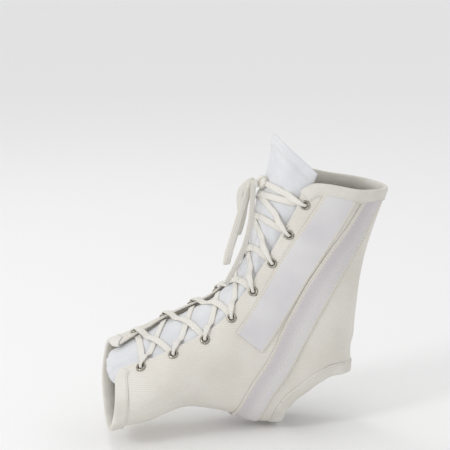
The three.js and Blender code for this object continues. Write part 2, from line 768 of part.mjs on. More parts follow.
// The knot: a rounded barrel, flat against the tongue, its axis up the tongue.
const KNOT_RINGS = 6;
const KNOT_SIDES = 10;
const KNOT_FULLNESS = 0.6;
function knotBody() {
  const rings = KNOT_RINGS;
  const profile = Array.from({ length: rings + 1 }, (_, i) => {
    const angle = Math.PI * (i / rings - 0.5);
    return new THREE.Vector2(Math.max(0, Math.cos(angle)) ** KNOT_FULLNESS, Math.sin(angle));
  });
  profile[0].x = 0;
  profile[rings].x = 0;
  const geometry = new THREE.LatheGeometry(profile, KNOT_SIDES);
  return geometry.scale(KNOT_HALF_WIDTH, KNOT_HALF_HEIGHT, KNOT_HALF_DEPTH);
}

function placeKnot(mesh) {
  const normal = outward(KNOT_TURN, KNOT_STATION);
  const up = stationSlope(KNOT_TURN, KNOT_STATION).normalize();
  mesh.position.copy(skin(KNOT_TURN, KNOT_STATION, -TONGUE_DEPTH + SEAM_GAP + KNOT_HALF_DEPTH));
  mesh.quaternion.setFromRotationMatrix(new THREE.Matrix4().makeBasis(up.clone().cross(normal), up, normal));
}

// Free parts of the lace: two loops and two ends that leave the front of the knot
// side by side and hang down. Their points are places that the lace passes.
const BOW_LOOP_NEAR = [
  [-28.4, -5.4, 115.2], [-31.5, -5.5, 114.7], [-37.2, -9, 106], [-42, -12, 95], [-46, -13, 83],
  [-49.5, -13.5, 71], [-51.8, -13, 61], [-52.6, -9, 54.5], [-51, -5, 60], [-47.6, -4.2, 70],
  [-43.6, -3.8, 83], [-39.5, -3.5, 95], [-35.8, -3.4, 105], [-32, -3.6, 114], [-28.4, -3.6, 115.2],
];
const BOW_LOOP_FAR = [
  [-28.4, 2.9, 115.6], [-31.5, 3, 115], [-35, 6, 111.5], [-37.5, 10, 106], [-37, 15.5, 97.5],
  [-35.5, 19.5, 87], [-36, 22, 77], [-37.5, 20.5, 70], [-36.5, 16.5, 75], [-35, 12, 86],
  [-34.5, 7, 97], [-33, 3, 106], [-31.5, 1.3, 113.5], [-28.4, 0.9, 115],
];
const LACE_END_NEAR = [
  [-28.4, -7.2, 115], [-31, -7.4, 114.5], [-33.2, -12, 105.5], [-35, -15, 91], [-39.2, -16, 73],
  [-46, -16.2, 57], [-54.5, -15.5, 40.5],
];
const LACE_END_FAR = [
  [-28.4, -1.5, 114.4], [-31.5, -1.5, 113.9], [-36.9, -1, 101], [-41.5, 0.5, 84], [-45, 2.5, 70],
  [-49, 3.5, 57],
];

// Section of the flat lace, as shares of its half thickness and half width.
const FREE_LACE_SECTION = [
  [-1, -0.85], [-0.6, -1], [0.6, -1], [1, -0.85], [1, 0.85], [0.6, 1], [-0.6, 1], [-1, 0.85],
];
function freeLace(points, steps) {
  const corners = points.map(([x, y, z]) => new THREE.Vector3(x, y, z));
  const path = new THREE.CatmullRomCurve3(corners, false, 'centripetal');
  const section = FREE_LACE_SECTION.map(([a, b]) => {
    return new THREE.Vector2(a * LACE_THICKNESS / 2, b * LACE_WIDTH / 2);
  });
  return new THREE.ExtrudeGeometry(new THREE.Shape(section), { steps, extrudePath: path });
}

addPiece('canvas_shell', canvasShell(), canvas);
addPiece('tongue', tongueBody(), quilted);
addPiece('top_binding', tapeAlong(endEdge(1), -1, false), binding);
addPiece('toe_binding', tapeAlong(endEdge(0), 1, false), binding);
addPiece('heel_binding', tapeAlong(heelEdge(), -1, true), binding);

const panelRows = bandRows(PANEL_LINE, PANEL_WIDTH, 11);
addPiece('side_panel_near', bandBody(panelRows, PANEL_WALL), satin);
addPiece('side_panel_far', bandBody(mirrorRows(panelRows), PANEL_WALL), satin);

const strapRows = bandRows(STRAP_LINE, STRAP_WIDTH, 22);
const wholeStrap = [...mirrorRows(strapRows).reverse(), ...strapRows.slice(1)];
addPiece('stirrup_strap', bandBody(wholeStrap, STRAP_WALL), webbing);

nearEyelets.forEach((place, k) => {
  seatOnForm(addPiece(`eyelet_near_${k + 1}`, eyeletBody(), nickel), place, 0);
});
farEyelets.forEach((place, k) => {
  seatOnForm(addPiece(`eyelet_far_${k + 1}`, eyeletBody(), nickel), place, 0);
});

addPiece('lace', laceBody(), braid);
placeKnot(addPiece('lace_knot', knotBody(), braid));
addPiece('bow_loop_near', freeLace(BOW_LOOP_NEAR, 20), braid);
addPiece('bow_loop_far', freeLace(BOW_LOOP_FAR, 18), braid);
addPiece('lace_end_near', freeLace(LACE_END_NEAR, 10), braid);
addPiece('lace_end_far', freeLace(LACE_END_FAR, 7), braid);

export default brace;
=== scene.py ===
# %% [markdown]
# # A lace-up ankle brace
# The brace is cotton canvas, laced over a padded tongue. This notebook dresses its CAD
# frame: every piece is made again in finer cloth, at the same place, with threads,
# stitches and seams that are too small for the frame. All lengths are metres.

# %% Load the frame
import math

import bpy
import numpy as np
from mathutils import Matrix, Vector


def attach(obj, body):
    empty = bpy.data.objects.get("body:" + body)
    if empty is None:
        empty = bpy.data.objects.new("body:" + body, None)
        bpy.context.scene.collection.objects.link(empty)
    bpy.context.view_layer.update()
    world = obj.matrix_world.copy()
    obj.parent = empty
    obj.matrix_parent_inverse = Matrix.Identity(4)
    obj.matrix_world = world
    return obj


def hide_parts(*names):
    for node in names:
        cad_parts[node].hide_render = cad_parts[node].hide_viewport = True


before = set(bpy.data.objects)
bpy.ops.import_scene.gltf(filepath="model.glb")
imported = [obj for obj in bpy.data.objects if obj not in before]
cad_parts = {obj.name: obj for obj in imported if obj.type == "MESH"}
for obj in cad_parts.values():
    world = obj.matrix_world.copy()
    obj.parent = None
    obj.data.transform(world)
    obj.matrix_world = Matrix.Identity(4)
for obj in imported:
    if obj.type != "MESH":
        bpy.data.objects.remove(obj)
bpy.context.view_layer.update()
mm = 0.001

# %% [markdown]
# ## The camera
# The photograph looks at the near side from a little in front and a little above. The
# long lens keeps the shape nearly free of perspective.

# %% Camera
azimuth = math.radians(-12)
elevation = math.radians(12)
back = Vector((math.sin(azimuth) * math.cos(elevation), -math.cos(azimuth) * math.cos(elevation),
               math.sin(elevation)))
right = Vector((math.cos(azimuth), math.sin(azimuth), 0))
up = back.cross(right)
target = right * -0.0507 + up * 0.07878
camera = bpy.data.objects.new("camera", bpy.data.cameras.new("camera"))
camera.data.lens = 102.6
camera.data.sensor_width = 36
camera.location = target + back
camera.rotation_euler = back.to_track_quat("Z", "Y").to_euler()
bpy.context.scene.collection.objects.link(camera)
bpy.context.scene.camera = camera
print("camera at", [round(v, 3) for v in camera.location])

# %% [markdown]
# ## Writing finishes as sums
# A finish is easier to read as arithmetic than as boxes and wires. Wire wraps one
# socket of a node, so that `weft * 0.5 + warp` makes the two Math nodes it needs.
# Finish holds one material, and its node method makes every other node.


# %% Finishes
class Wire:
    """One value on its way through a material."""

    def __init__(self, finish, socket):
        self.finish = finish
        self.socket = socket

    def join(self, operation, *others):
        node = self.finish.tree.nodes.new("ShaderNodeMath")
        node.operation = operation
        for place, value in zip(node.inputs, (self, *others)):
            self.finish.feed(place, value)
        return Wire(self.finish, node.outputs[0])

    def __add__(self, other):
        return self.join("ADD", other)

    __radd__ = __add__

    def __rsub__(self, other):
        return self.join("MULTIPLY", -1).join("ADD", other)

    def __mul__(self, other):
        return self.join("MULTIPLY", other)

    def __truediv__(self, other):
        return self.join("DIVIDE", other)

    def sine(self):
        return self.join("SINE")

    def size(self):
        return self.join("ABSOLUTE")

    def within(self, low, high):
        """0 below low, 1 above high, and smooth between them."""
        node = self.finish.tree.nodes.new("ShaderNodeMapRange")
        node.interpolation_type = "SMOOTHSTEP"
        self.finish.feed(node.inputs["Value"], self)
        node.inputs["From Min"].default_value = low
        node.inputs["From Max"].default_value = high
        return Wire(self.finish, node.outputs["Result"])


class Finish:
    """A material with one Principled shader and the helpers that feed it."""

    def __init__(self, name, **constants):
        self.material = bpy.data.materials.new(name)
        self.material.use_nodes = True
        self.tree = self.material.node_tree
        self.shader = self.tree.nodes["Principled BSDF"]
        for socket, value in constants.items():
            self.shader.inputs[socket.replace("_", " ")].default_value = value

    def feed(self, place, value):
        if isinstance(value, Wire):
            self.tree.links.new(value.socket, place)
        else:
            place.default_value = value

    def node(self, kind, output=0, **sockets):
        node = self.tree.nodes.new(kind)
        for socket, value in sockets.items():
            self.feed(node.inputs[socket.replace("_", " ")], value)
        return Wire(self, node.outputs[output])

    def parts(self, spot):
        split = self.tree.nodes.new("ShaderNodeSeparateXYZ")
        self.feed(split.inputs[0], spot)
        return [Wire(self, output) for output in split.outputs]

    def across_and_along(self):
        """The cloth's own measure in metres: across it and along it."""
        return self.parts(self.node("ShaderNodeUVMap"))[:2]

    def place(self):
        """Where a point of the object is, in metres."""
        return self.parts(self.node("ShaderNodeTexCoord", output=3))

    def noise(self, scale, detail=3.0):
        spot = self.node("ShaderNodeTexCoord", output=3)
        return self.node("ShaderNodeTexNoise", Vector=spot, Scale=scale, Detail=detail)

    def blend(self, share, low, high):
        """A colour between two, low at 0 and high at 1."""
        node = self.tree.nodes.new("ShaderNodeMix")
        node.data_type = "RGBA"
        self.feed(node.inputs["Factor"], share)
        for place, colour in ((node.inputs[6], low), (node.inputs[7], high)):
            self.feed(place, colour if isinstance(colour, Wire) else (*colour, 1))
        return Wire(self, node.outputs[2])

    def surface(self, colour=None, roughness=None, height=None, depth=0.0001):
        if colour is not None:
            self.feed(self.shader.inputs["Base Color"], colour)
        if roughness is not None:
            self.feed(self.shader.inputs["Roughness"], roughness)
        if height is not None:
            bump = self.node("ShaderNodeBump", Height=height, Strength=1.0, Distance=depth)
            self.feed(self.shader.inputs["Normal"], bump)
        return self.material

# %% [markdown]
# ## Braided lace
# The lace is a flat cotton braid. Its ribbon is a rounded flat section carried along a
# smooth line, turned as little as possible from step to step, so it never twists by
# itself. A herringbone of fine bumps makes the braid.


# %% Lace tools
LACE_WIDTH = 0.0052
LACE_THICKNESS = 0.001


def smooth_line(points, steps, evenness=0.5):
    """A smooth line through the points, with that many steps between two of them.

    evenness is 0 where the points are knots a step apart, and 0.5 where the way between
    them counts, which keeps close points from overshooting.
    """
    points = np.asarray(points, dtype=float)
    ends = np.vstack([2 * points[0] - points[1], points, 2 * points[-1] - points[-2]])
    gaps = np.maximum(size_of(np.diff(ends[:, :3], axis=0)), 1e-9) ** evenness
    share = (np.arange(steps) / steps)[:, None]
    line = []
    for i in range(len(points) - 1):
        a, b, c, d = ends[i:i + 4]
        before, here, after = gaps[i:i + 3]
        leave = ((b - a) / before - (c - a) / (before + here)) * here + (c - b)
        arrive = ((d - c) / after - (d - b) / (here + after)) * here + (c - b)
        line.append(b + leave * share + (3 * (c - b) - 2 * leave - arrive) * share ** 2
                    + (2 * (b - c) + leave + arrive) * share ** 3)
    line.append(points[-1:])
    return np.concatenate(line)


def size_of(vectors):
    return np.linalg.norm(vectors, axis=-1)


def unit(vectors):
    return vectors / np.maximum(size_of(vectors), 1e-12)[..., None]


def lengths_along(line):
    return np.concatenate([[0.0], np.cumsum(size_of(np.diff(line, axis=0)))])


def at_ways(values, way, at):
    """Rows of values read at places along a way."""
    return np.stack([np.interp(at, way, values[:, k]) for k in range(values.shape[1])], axis=-1)


def round_angles(count, first=0):
    """Angles evenly spaced round a circle. first is the first one's place among them."""
    return 2 * math.pi * (np.arange(count) + first) / count


def ring_faces(count, size, closed=False):
    """Faces between rings of points. Open rings get a cap at both ends, listed last."""
    here = np.arange(count * size).reshape(count, size)
    ahead = np.roll(here, -1, axis=0)
    faces = np.stack([here, np.roll(here, -1, axis=1), np.roll(ahead, -1, axis=1), ahead], axis=-1)
    if closed:
        return faces.reshape(-1, 4).tolist()
    return faces[:-1].reshape(-1, 4).tolist() + [here[0, ::-1].tolist(), here[-1].tolist()]


def add_mesh(name, points, faces, material, uvs=None):
    """A mesh object from points and faces. uvs holds one pair of metres per point."""
    mesh = bpy.data.meshes.new(name)
    mesh.from_pydata([tuple(p) for p in points], [], [tuple(int(i) for i in f) for f in faces])
    if uvs is not None:
        layer = mesh.uv_layers.new(name="cloth")
        corner_points = np.zeros(len(mesh.loops), dtype=np.int32)
        mesh.loops.foreach_get("vertex_index", corner_points)
        layer.data.foreach_set("uv", np.asarray(uvs, dtype=np.float32)[corner_points].ravel())
    mesh.materials.append(material)
    mesh.validate()
    piece = bpy.data.objects.new(name, mesh)
    bpy.context.scene.collection.objects.link(piece)
    mesh.shade_smooth()
    return piece


def dress(piece, node):
    """Puts a piece in the place of a CAD node."""
    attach(piece, "root")
    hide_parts(node)
    print(piece.name, "has", len(piece.data.polygons), "faces")
    return piece


SECTION_SIDES = 12


def ribbon(name, line, sides, widths, thicknesses, material):
    """Flat braid along a line. sides point across its width."""
    heading = unit(np.gradient(line, axis=0))
    across = unit(sides - heading * np.sum(sides * heading, axis=1, keepdims=True))
    face = np.cross(heading, across)
    angle = round_angles(SECTION_SIDES, 0.5)
    wide = np.sign(np.cos(angle)) * np.abs(np.cos(angle)) ** 0.5 / 2
    thick = np.sign(np.sin(angle)) * np.abs(np.sin(angle)) ** 0.7 / 2
    rings = (line[:, None] + across[:, None] * (wide[None] * widths[:, None])[..., None]
             + face[:, None] * (thick[None] * thicknesses[:, None])[..., None])
    faces = ring_faces(len(line), SECTION_SIDES)
    measure = np.broadcast_arrays(wide * LACE_WIDTH, lengths_along(line)[:, None])
    uvs = np.stack(measure, axis=-1).reshape(-1, 2)
    return add_mesh(name, rings.reshape(-1, 3), faces, material, uvs)


def least_turning(line, first):
    """Side vectors along a line, turned no more than the line itself."""
    heading = unit(np.gradient(line, axis=0))
    sides = [first]
    for here in heading[1:]:
        sides.append(unit(sides[-1] - here * np.dot(sides[-1], here)))
    return np.array(sides)


braid = Finish("braided cotton", Sheen_Weight=0.25, Specular_IOR_Level=0.2)
across, along = braid.across_and_along()
strand = ((along * 2600 + across.size() * 3400).sine() + 1) / 2
# Painted shade: edge darkens both long edges of the braid towards brown, where its rounded sides turn
# away from the light and strands lie against each other.
edge = across.size().within(0.0018, 0.0027)
fuzz = braid.noise(900)
braid_white = braid.blend(strand * 0.5 + fuzz * 0.4, (0.68, 0.66, 0.6), (0.9, 0.885, 0.85))
braided_cotton = braid.surface(
    braid.blend(edge * 0.4, braid_white, (0.52, 0.45, 0.33)),
    0.8 + fuzz * 0.15,
    strand * (1 - edge) + fuzz * 0.5,
    0.00016,
)
print("braid ready:", braided_cotton.name)

# %% [markdown]
# ## The bow
# Two loops and two ends leave the front of the knot side by side and hang down the
# front. Each is a free part of the lace, and the length of each is printed. The
# ribbons start edge on, which keeps their flat faces to the sides as they fall.

# %% Bow loops and lace ends
BOW = {
    "bow_loop_near": ("object", [
        (-0.0284, -0.0054, 0.1152), (-0.0315, -0.0055, 0.1147), (-0.0372, -0.009, 0.106),
        (-0.042, -0.012, 0.095), (-0.046, -0.013, 0.083), (-0.0495, -0.0135, 0.071),
        (-0.0518, -0.013, 0.061), (-0.0526, -0.009, 0.0545), (-0.051, -0.005, 0.06),
        (-0.0476, -0.0042, 0.07), (-0.0436, -0.0038, 0.083), (-0.0395, -0.0035, 0.095),
        (-0.0358, -0.0034, 0.105), (-0.032, -0.0036, 0.114), (-0.0284, -0.0036, 0.1152)]),
    "bow_loop_far": ("object", [
        (-0.0284, 0.0029, 0.1156), (-0.0315, 0.003, 0.115), (-0.035, 0.006, 0.1115),
        (-0.0375, 0.01, 0.106), (-0.037, 0.0155, 0.0975), (-0.0355, 0.0195, 0.087),
        (-0.036, 0.022, 0.077), (-0.0375, 0.0205, 0.07), (-0.0365, 0.0165, 0.075),
        (-0.035, 0.012, 0.086), (-0.0345, 0.007, 0.097), (-0.033, 0.003, 0.106),
        (-0.0315, 0.0013, 0.1135), (-0.0284, 0.0009, 0.115)]),
    "lace_end_near": ("bare", [
        (-0.0284, -0.0072, 0.115), (-0.031, -0.0074, 0.1145), (-0.0332, -0.012, 0.1055),
        (-0.035, -0.015, 0.091), (-0.0392, -0.016, 0.073), (-0.046, -0.0162, 0.057),
        (-0.0545, -0.0155, 0.0405)]),
    "lace_end_far": ("bare", [
        (-0.0284, -0.0015, 0.1144), (-0.0315, -0.0015, 0.1139), (-0.0369, -0.001, 0.101),
        (-0.0415, 0.0005, 0.084), (-0.045, 0.0025, 0.07), (-0.049, 0.0035, 0.057)]),
}
for name, (far_end, points) in BOW.items():
    line = smooth_line(points, 8)
    sides = least_turning(line, np.array([0.0, 0.0, 1.0]))
    size = np.ones(len(line))
    strand_piece = ribbon(name + "_braid", line, sides, size * LACE_WIDTH, size * LACE_THICKNESS,
                          braided_cotton)
    dress(strand_piece, name)
    print(name, "is", round(lengths_along(line)[-1] * 1000), "mm long")

# %% [markdown]
# ## The form that all pieces follow
# A place on the brace is a turn, in degrees round its section from the front, and a
# station from 0 at the toe opening to 1 at the top edge. A short table gives the
# sections. Cloth, tape and lace are all made at some height over this one form.

# %% The form
TOE_REACH = 0.145
HEEL_REACH = 0.072
TOP_RISE = 0.119
SOLE_DROP = 0.071
FORM_HALF_WIDTH = 0.043
THROAT_HALF_GAP = 0.043
SECTION_ROUND = 2.15
SECTIONS = {
    "front_x": [-0.95, -0.745, -0.56, -0.415, -0.32, -0.26, -0.235, -0.215, -0.195, -0.172, -0.15],
    "front_z": [-0.21, 0, 0.12, 0.23, 0.36, 0.51, 0.655, 0.77, 0.86, 0.93, 1],
    "back_x": [-1, -0.81, -0.61, -0.41, -0.165, 0.25, 0.585, 0.65, 0.71, 0.82, 1],
    "back_z": [-0.8, -0.78, -0.7, -0.8, -1, -1.01, -0.68, -0.17, 0.27, 0.59, 0.92],
    "width": [1, 1, 0.95, 0.91, 0.86, 0.81, 0.79, 0.79, 0.84, 0.88, 0.95],
    "belly": [0.5, 0.5, 0.5, 0.52, 0.54, 0.55, 0.55, 0.53, 0.52, 0.52, 0.52],
    "flat": [2.7, 2.7, 2.6, 2.6, 2.5, 2.3, 2.2, 2.1, 2.1, 2.1, 2.1],
    "roll": [18, 16, 13, 10, 6, 3, 1, 0, 0, 0, 0],
    "throat": [0.33, 0.5, 0.59, 0.56, 0.5, 0.57, 0.73, 0.85, 0.93, 0.98, 1],
}


def column(name, station):
    """One column of the table, smooth between its rows and straight past its ends."""
    values = np.array(SECTIONS[name], dtype=float)
    last = len(values) - 1
    t = np.asarray(station, dtype=float) * last
    held = np.clip(t, 0, last)
    i = np.minimum(held.astype(int), last - 1)
    f = held - i
    ends = np.concatenate([[2 * values[0] - values[1]], values, [2 * values[-1] - values[-2]]])
    a, b, c, d = ends[i], ends[i + 1], ends[i + 2], ends[i + 3]
    inside = 0.5 * (2 * b + (c - a) * f + (2 * a - 5 * b + 4 * c - d) * f ** 2
                    + (3 * b - a - 3 * c + d) * f ** 3)
    slope = np.where(t < 0, values[1] - values[0], values[-1] - values[-2])
    return inside + (t - held) * slope


def reach(name, station, low, high):
    """A column as metres. Its shares below 0 are of low, and the others of high."""
    share = column(name, station)
    return share * np.where(share < 0, low, high)


def form(turn, station):
    """Points of the form, with one row of three numbers for each place."""
    turn, station = np.broadcast_arrays(turn, station)
    front_x = reach("front_x", station, TOE_REACH, HEEL_REACH)
    front_z = reach("front_z", station, SOLE_DROP, TOP_RISE)
    back_x = reach("back_x", station, TOE_REACH, HEEL_REACH)
    back_z = reach("back_z", station, SOLE_DROP, TOP_RISE)
    angle = np.radians(turn)
    c, s = np.cos(angle), np.sin(angle)
    power = np.where(c > 0, SECTION_ROUND, column("flat", station))
    radius = (np.abs(c) ** power + np.abs(s) ** power) ** (-1 / power)
    depth = np.hypot(back_x - front_x, back_z - front_z)
    belly = column("belly", station)
    along = -c * radius * np.where(c > 0, belly, 1 - belly) * depth
    across = -s * radius * column("width", station) * FORM_HALF_WIDTH
    roll = np.radians(column("roll", station))
    y = across * np.cos(roll) + along * np.sin(roll)
    t = belly + (along * np.cos(roll) - across * np.sin(roll)) / depth
    return np.stack([front_x + (back_x - front_x) * t, y, front_z + (back_z - front_z) * t], axis=-1)


TINY = 1e-3


def turn_slope(turn, station):
    return (form(turn + TINY, station) - form(turn - TINY, station)) / (2 * TINY)


def station_slope(turn, station):
    return (form(turn, station + TINY) - form(turn, station - TINY)) / (2 * TINY)


def outward(turn, station):
    return unit(np.cross(turn_slope(turn, station), station_slope(turn, station)))


def skin(turn, station, height):
    """Points at a height over the form."""
    return form(turn, station) + outward(turn, station) * np.asarray(height)[..., None]


def moved(turn, station, step):
    """Places moved by a small step along the form."""
    a, b = turn_slope(turn, station), station_slope(turn, station)
    aa, ab, bb = (a * a).sum(-1), (a * b).sum(-1), (b * b).sum(-1)
    sa, sb = (step * a).sum(-1), (step * b).sum(-1)
    det = aa * bb - ab * ab
    return turn + (sa * bb - sb * ab) / det, station + (sb * aa - sa * ab) / det


def walk(turn, station, heading, distance):
    """Places a distance to the left of a heading, found in short steps."""
    steps = 6
    distance = np.asarray(distance, dtype=float)
    for _ in range(steps):
        normal = outward(turn, station)
        heading = unit(heading - normal * np.sum(heading * normal, axis=-1, keepdims=True))
        step = np.cross(normal, heading) * (distance / steps)[..., None]
        turn, station = moved(turn, station, step)
    return turn, station


ROUND_TURNS = np.arange(0, 181)


def turn_at(station, length):
    """Turn at which the way round the section from the front has a given length."""
    way = lengths_along(form(ROUND_TURNS, station))
    return np.interp(length, way, ROUND_TURNS)


def throat_length(station):
    """Way round the section from the front to the canvas edge."""
    return column("throat", station) * THROAT_HALF_GAP


THROAT_STATIONS = np.linspace(-0.1, 1.1, 241)
THROAT_TURNS = np.array([turn_at(s, throat_length(s)) for s in THROAT_STATIONS])


def throat_turn(station):
    return np.interp(station, THROAT_STATIONS, THROAT_TURNS)


print("ankle hollow is", round(float(np.ptp(form(np.array([90, 270]), 0.6)[:, 1])) * 1000), "mm wide")

# %% [markdown]
# ## Cloth
# A piece of cloth is an outer and an inner grid of points, closed at its rim. The rim
# is pulled together a little, as a folded edge is. Its weave is measured in metres
# along the cloth, so threads keep their size however the piece is curved.


# %% Cloth tools
RIM = [0.4, 0.8, 0.95]


def soften_rim(outer, inner):
    """Brings the two sides of a cloth together at its rim."""
    rows, cols = outer.shape[:2]
    from_rim = np.minimum.outer(np.minimum(np.arange(rows), np.arange(rows)[::-1]),
                                np.minimum(np.arange(cols), np.arange(cols)[::-1]))
    share = np.array(RIM + [1.0])[np.minimum(from_rim, len(RIM))][..., None]
    middle = (outer + inner) / 2
    return middle + (outer - middle) * share, middle + (inner - middle) * share


def cloth_measure(grid):
    """Metres across and along the cloth at each point of a grid."""
    u, v = np.zeros((2, *grid.shape[:2]))
    u[:, 1:] = np.cumsum(size_of(np.diff(grid, axis=1)), axis=1)
    v[1:] = np.cumsum(size_of(np.diff(grid, axis=0)), axis=0)
    return np.stack([u - u[:, -1:] / 2, v], axis=-1)


def quads(grid):
    return np.stack([grid[:-1, :-1], grid[:-1, 1:], grid[1:, 1:], grid[1:, :-1]], axis=-1)


def cut_walls(number, low, kept):
    """Faces that close the cloth along the cells that are cut away."""
    before, after = kept[:, :-1], kept[:, 1:]
    below, above = kept[:-1], kept[1:]
    middle, first, second = slice(1, -1), slice(None, -1), slice(1, None)
    walls = []
    for cut, start, end in ((before & ~after, (second, middle), (first, middle)),
                            (after & ~before, (first, middle), (second, middle)),
                            (below & ~above, (middle, first), (middle, second)),
                            (above & ~below, (middle, second), (middle, first))):
        walls.append(np.stack([number[start], number[end], low[end], low[start]], axis=-1)[cut])
    return walls


def cloth(name, outer, inner, material, keep=None):
    """Closed cloth. keep is False for the cells that are cut away."""
    outer, inner = soften_rim(outer, inner)
    rows, cols = outer.shape[:2]
    number = np.arange(rows * cols).reshape(rows, cols)
    low = number + rows * cols
    kept = np.ones((rows - 1, cols - 1), dtype=bool) if keep is None else keep
    faces = [quads(number)[kept], quads(low)[kept][:, ::-1]]
    for edge_top, edge_low in ((number[:, 0], low[:, 0]), (number[::-1, -1], low[::-1, -1]),
                               (number[0, ::-1], low[0, ::-1]), (number[-1], low[-1])):
        faces.append(np.stack([edge_top[:-1], edge_top[1:], edge_low[1:], edge_low[:-1]], -1))
    faces += cut_walls(number, low, kept)
    measure = cloth_measure(outer).reshape(-1, 2)
    points = np.concatenate([outer.reshape(-1, 3), inner.reshape(-1, 3)])
    return add_mesh(name, points, np.concatenate(faces), material, np.tile(measure, (2, 1)))


def declare_sheet(piece, width, length, **how):
    """Says what size a sheet was cut to. how, which would say how it is held, is not used."""
    print(piece.name, "was cut to", round(width * 1000), "by", round(length * 1000), "mm")


def declare_cloth(piece, grid, kept=None, wide=np.median, **how):
    """Says a sheet's size by its width and its longest column. The area of its cells is worked out
    and passed on, but not used.
    """
    measure = cloth_measure(grid)
    width, length = wide(np.ptp(measure[..., 0], axis=1)), measure[..., 1].max()
    diagonals = grid[1:, 1:] - grid[:-1, :-1], grid[1:, :-1] - grid[:-1, 1:]
    areas = size_of(np.cross(*diagonals)) / 2
    area = areas.sum() if kept is None else areas[kept].sum()
    declare_sheet(piece, width, length, area=float(min(area, width * length)), **how)


STITCH_RADIUS = 0.00022
STITCH_SPACING = 0.0027
STITCH_LENGTH = 0.0019
STITCH_SIDES = 5
STITCH_RINGS = np.array([(0, 0.3, -0.6), (0.2, 1, 0.3), (0.5, 1, 0.6), (0.8, 1, 0.3), (1, 0.3, -0.6)])


def stitches(name, line, lift):
    """A row of short stitches along a line. lift points out of the cloth."""
    way = lengths_along(line)
    starts = np.arange(STITCH_SPACING / 2, way[-1] - STITCH_LENGTH, STITCH_SPACING)
    share, girth, rise = STITCH_RINGS.T
    at = starts[:, None] + share * STITCH_LENGTH
    spot, normal = at_ways(line, way, at), at_ways(lift, way, at)
    aside = unit(np.cross(normal, at_ways(line, way, at + 1e-4) - spot))
    angle = round_angles(STITCH_SIDES)
    upward = (rise[:, None] + girth[:, None] * np.sin(angle))[..., None]
    sideways = (girth[:, None] * np.cos(angle))[..., None]
    offsets = upward * normal[:, :, None] + sideways * aside[:, :, None]
    points = spot[:, :, None] + STITCH_RADIUS * offsets
    tube = np.array(ring_faces(len(share), STITCH_SIDES)[:-2])
    first_points = len(share) * STITCH_SIDES * np.arange(len(starts))
    faces = first_points[:, None, None] + tube
    piece = add_mesh(name, points.reshape(-1, 3), faces.reshape(-1, 4), sewing_thread)
    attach(piece, "root")
    print(name, "has", len(starts), "stitches")
    return piece


thread = Finish("sewing thread", Roughness=0.7, Sheen_Weight=0.2)
thread_fuzz = thread.noise(1500)
sewing_thread = thread.surface(thread.blend(thread_fuzz, (0.58, 0.53, 0.45), (0.74, 0.71, 0.65)),
                               0.6 + thread_fuzz * 0.2)

# %% [markdown]
# ## The canvas
# The body of the brace is plain cream duck, one cloth wall wrapped round the form. Its
# front edges run down both sides of the tongue and turn round a corner at the top and
# at the toe. Cells of the grid are dropped at the heel opening, where tape covers the
# cut, and at each eyelet, where the flange does. Weft ribs run level across it.

# %% Canvas
CANVAS_WALL = 0.002
CORNER_RADIUS = 0.011
TOP_CREST = 0.003
CREST_TURN = 72
CREST_SPREAD = 42
HEEL_EDGE = [(180, 0.637), (150, 0.626), (128, 0.587), (119.5, 0.545), (117.5, 0.5),
             (120.5, 0.455), (130, 0.433), (150, 0.426), (180, 0.423)]
HOLE_MARGIN = 1.05
HOLE_MARGIN_TURN = 3
EYELET_CUT_RADIUS = 0.0028


def fold_turn(turn):
    """The same turn on the near side."""
    return np.minimum(turn, 360 - turn)


def corner_drop(distance):
    left = np.clip(CORNER_RADIUS - distance, 0, CORNER_RADIUS)
    return CORNER_RADIUS - np.sqrt(CORNER_RADIUS ** 2 - left ** 2)


def edge_station(turn, end):
    """Station of the toe edge (end 0) or of the top edge (end 1) at a turn."""
    turn = np.asarray(turn, dtype=float)
    turned = fold_turn(turn) - throat_turn(end)
    distance = np.maximum(0, turned) * size_of(turn_slope(turn, end))
    away = np.minimum(1, np.abs(fold_turn(turn) - CREST_TURN) / CREST_SPREAD)
    crest = TOP_CREST * np.cos(away * math.pi / 2) ** 2 if end == 1 else 0
    pull = (corner_drop(distance) - crest) / size_of(station_slope(turn, end))
    return pull if end == 0 else 1 - pull


def canvas_place(across_share, rise):
    """A place on the canvas from 0 to 1 across and 0 to 1 up."""
    across_share, rise = np.broadcast_arrays(across_share, rise)
    station = np.array(rise, dtype=float)
    for _ in range(4):
        open_turn = throat_turn(station)
        turn = open_turn + across_share * (360 - 2 * open_turn)
        station = edge_station(turn, 0) * (1 - rise) + edge_station(turn, 1) * rise
    return turn, station


EYELET_PAIRS = 8
EYELET_INSET = 0.0055
FIRST_EYELET_STATION = 0.926
LAST_EYELET_STATION = 0.062


def eyelet_places():
    """Turns and stations of the near eyelets, evenly spaced, top first."""
    station = np.linspace(FIRST_EYELET_STATION, LAST_EYELET_STATION, 61)
    turn = np.array([turn_at(s, throat_length(s) + EYELET_INSET) for s in station])
    way = lengths_along(form(turn, station))
    goals = np.linspace(0, way[-1], EYELET_PAIRS)
    return np.interp(goals, way, turn), np.interp(goals, way, station)


eyelet_turns, eyelet_stations = eyelet_places()
eyelet_centres = np.concatenate([skin(eyelet_turns, eyelet_stations, 0.001),
                                 skin(-eyelet_turns, eyelet_stations, 0.001)])


def patch(turn, station, turn_middle, turn_spread, station_middle, station_spread):
    """1 in the middle of a soft round patch on both sides, and 0 far from it."""
    away = ((fold_turn(turn) - turn_middle) / turn_spread) ** 2
    return np.exp(-away - ((station - station_middle) / station_spread) ** 2)


def soft_waves(turn, station):
    """Height of the shallow waves that tension leaves in the canvas, in metres."""
    side = np.radians(turn)
    waves = 0.35 * np.sin(3 * side + 14 * station) * np.sin(21 * station + 2 * side)
    heel = patch(turn, station, 150, 28, 0.7, 0.05)
    bend = patch(turn, station, 84, 20, 0.36, 0.03)
    return 0.001 * (waves + 0.6 * heel * np.sin(90 * station) - 0.5 * bend)


def cell(grid):
    """The middle of each cell of a grid."""
    return (grid[:-1, :-1] + grid[1:, 1:]) / 2


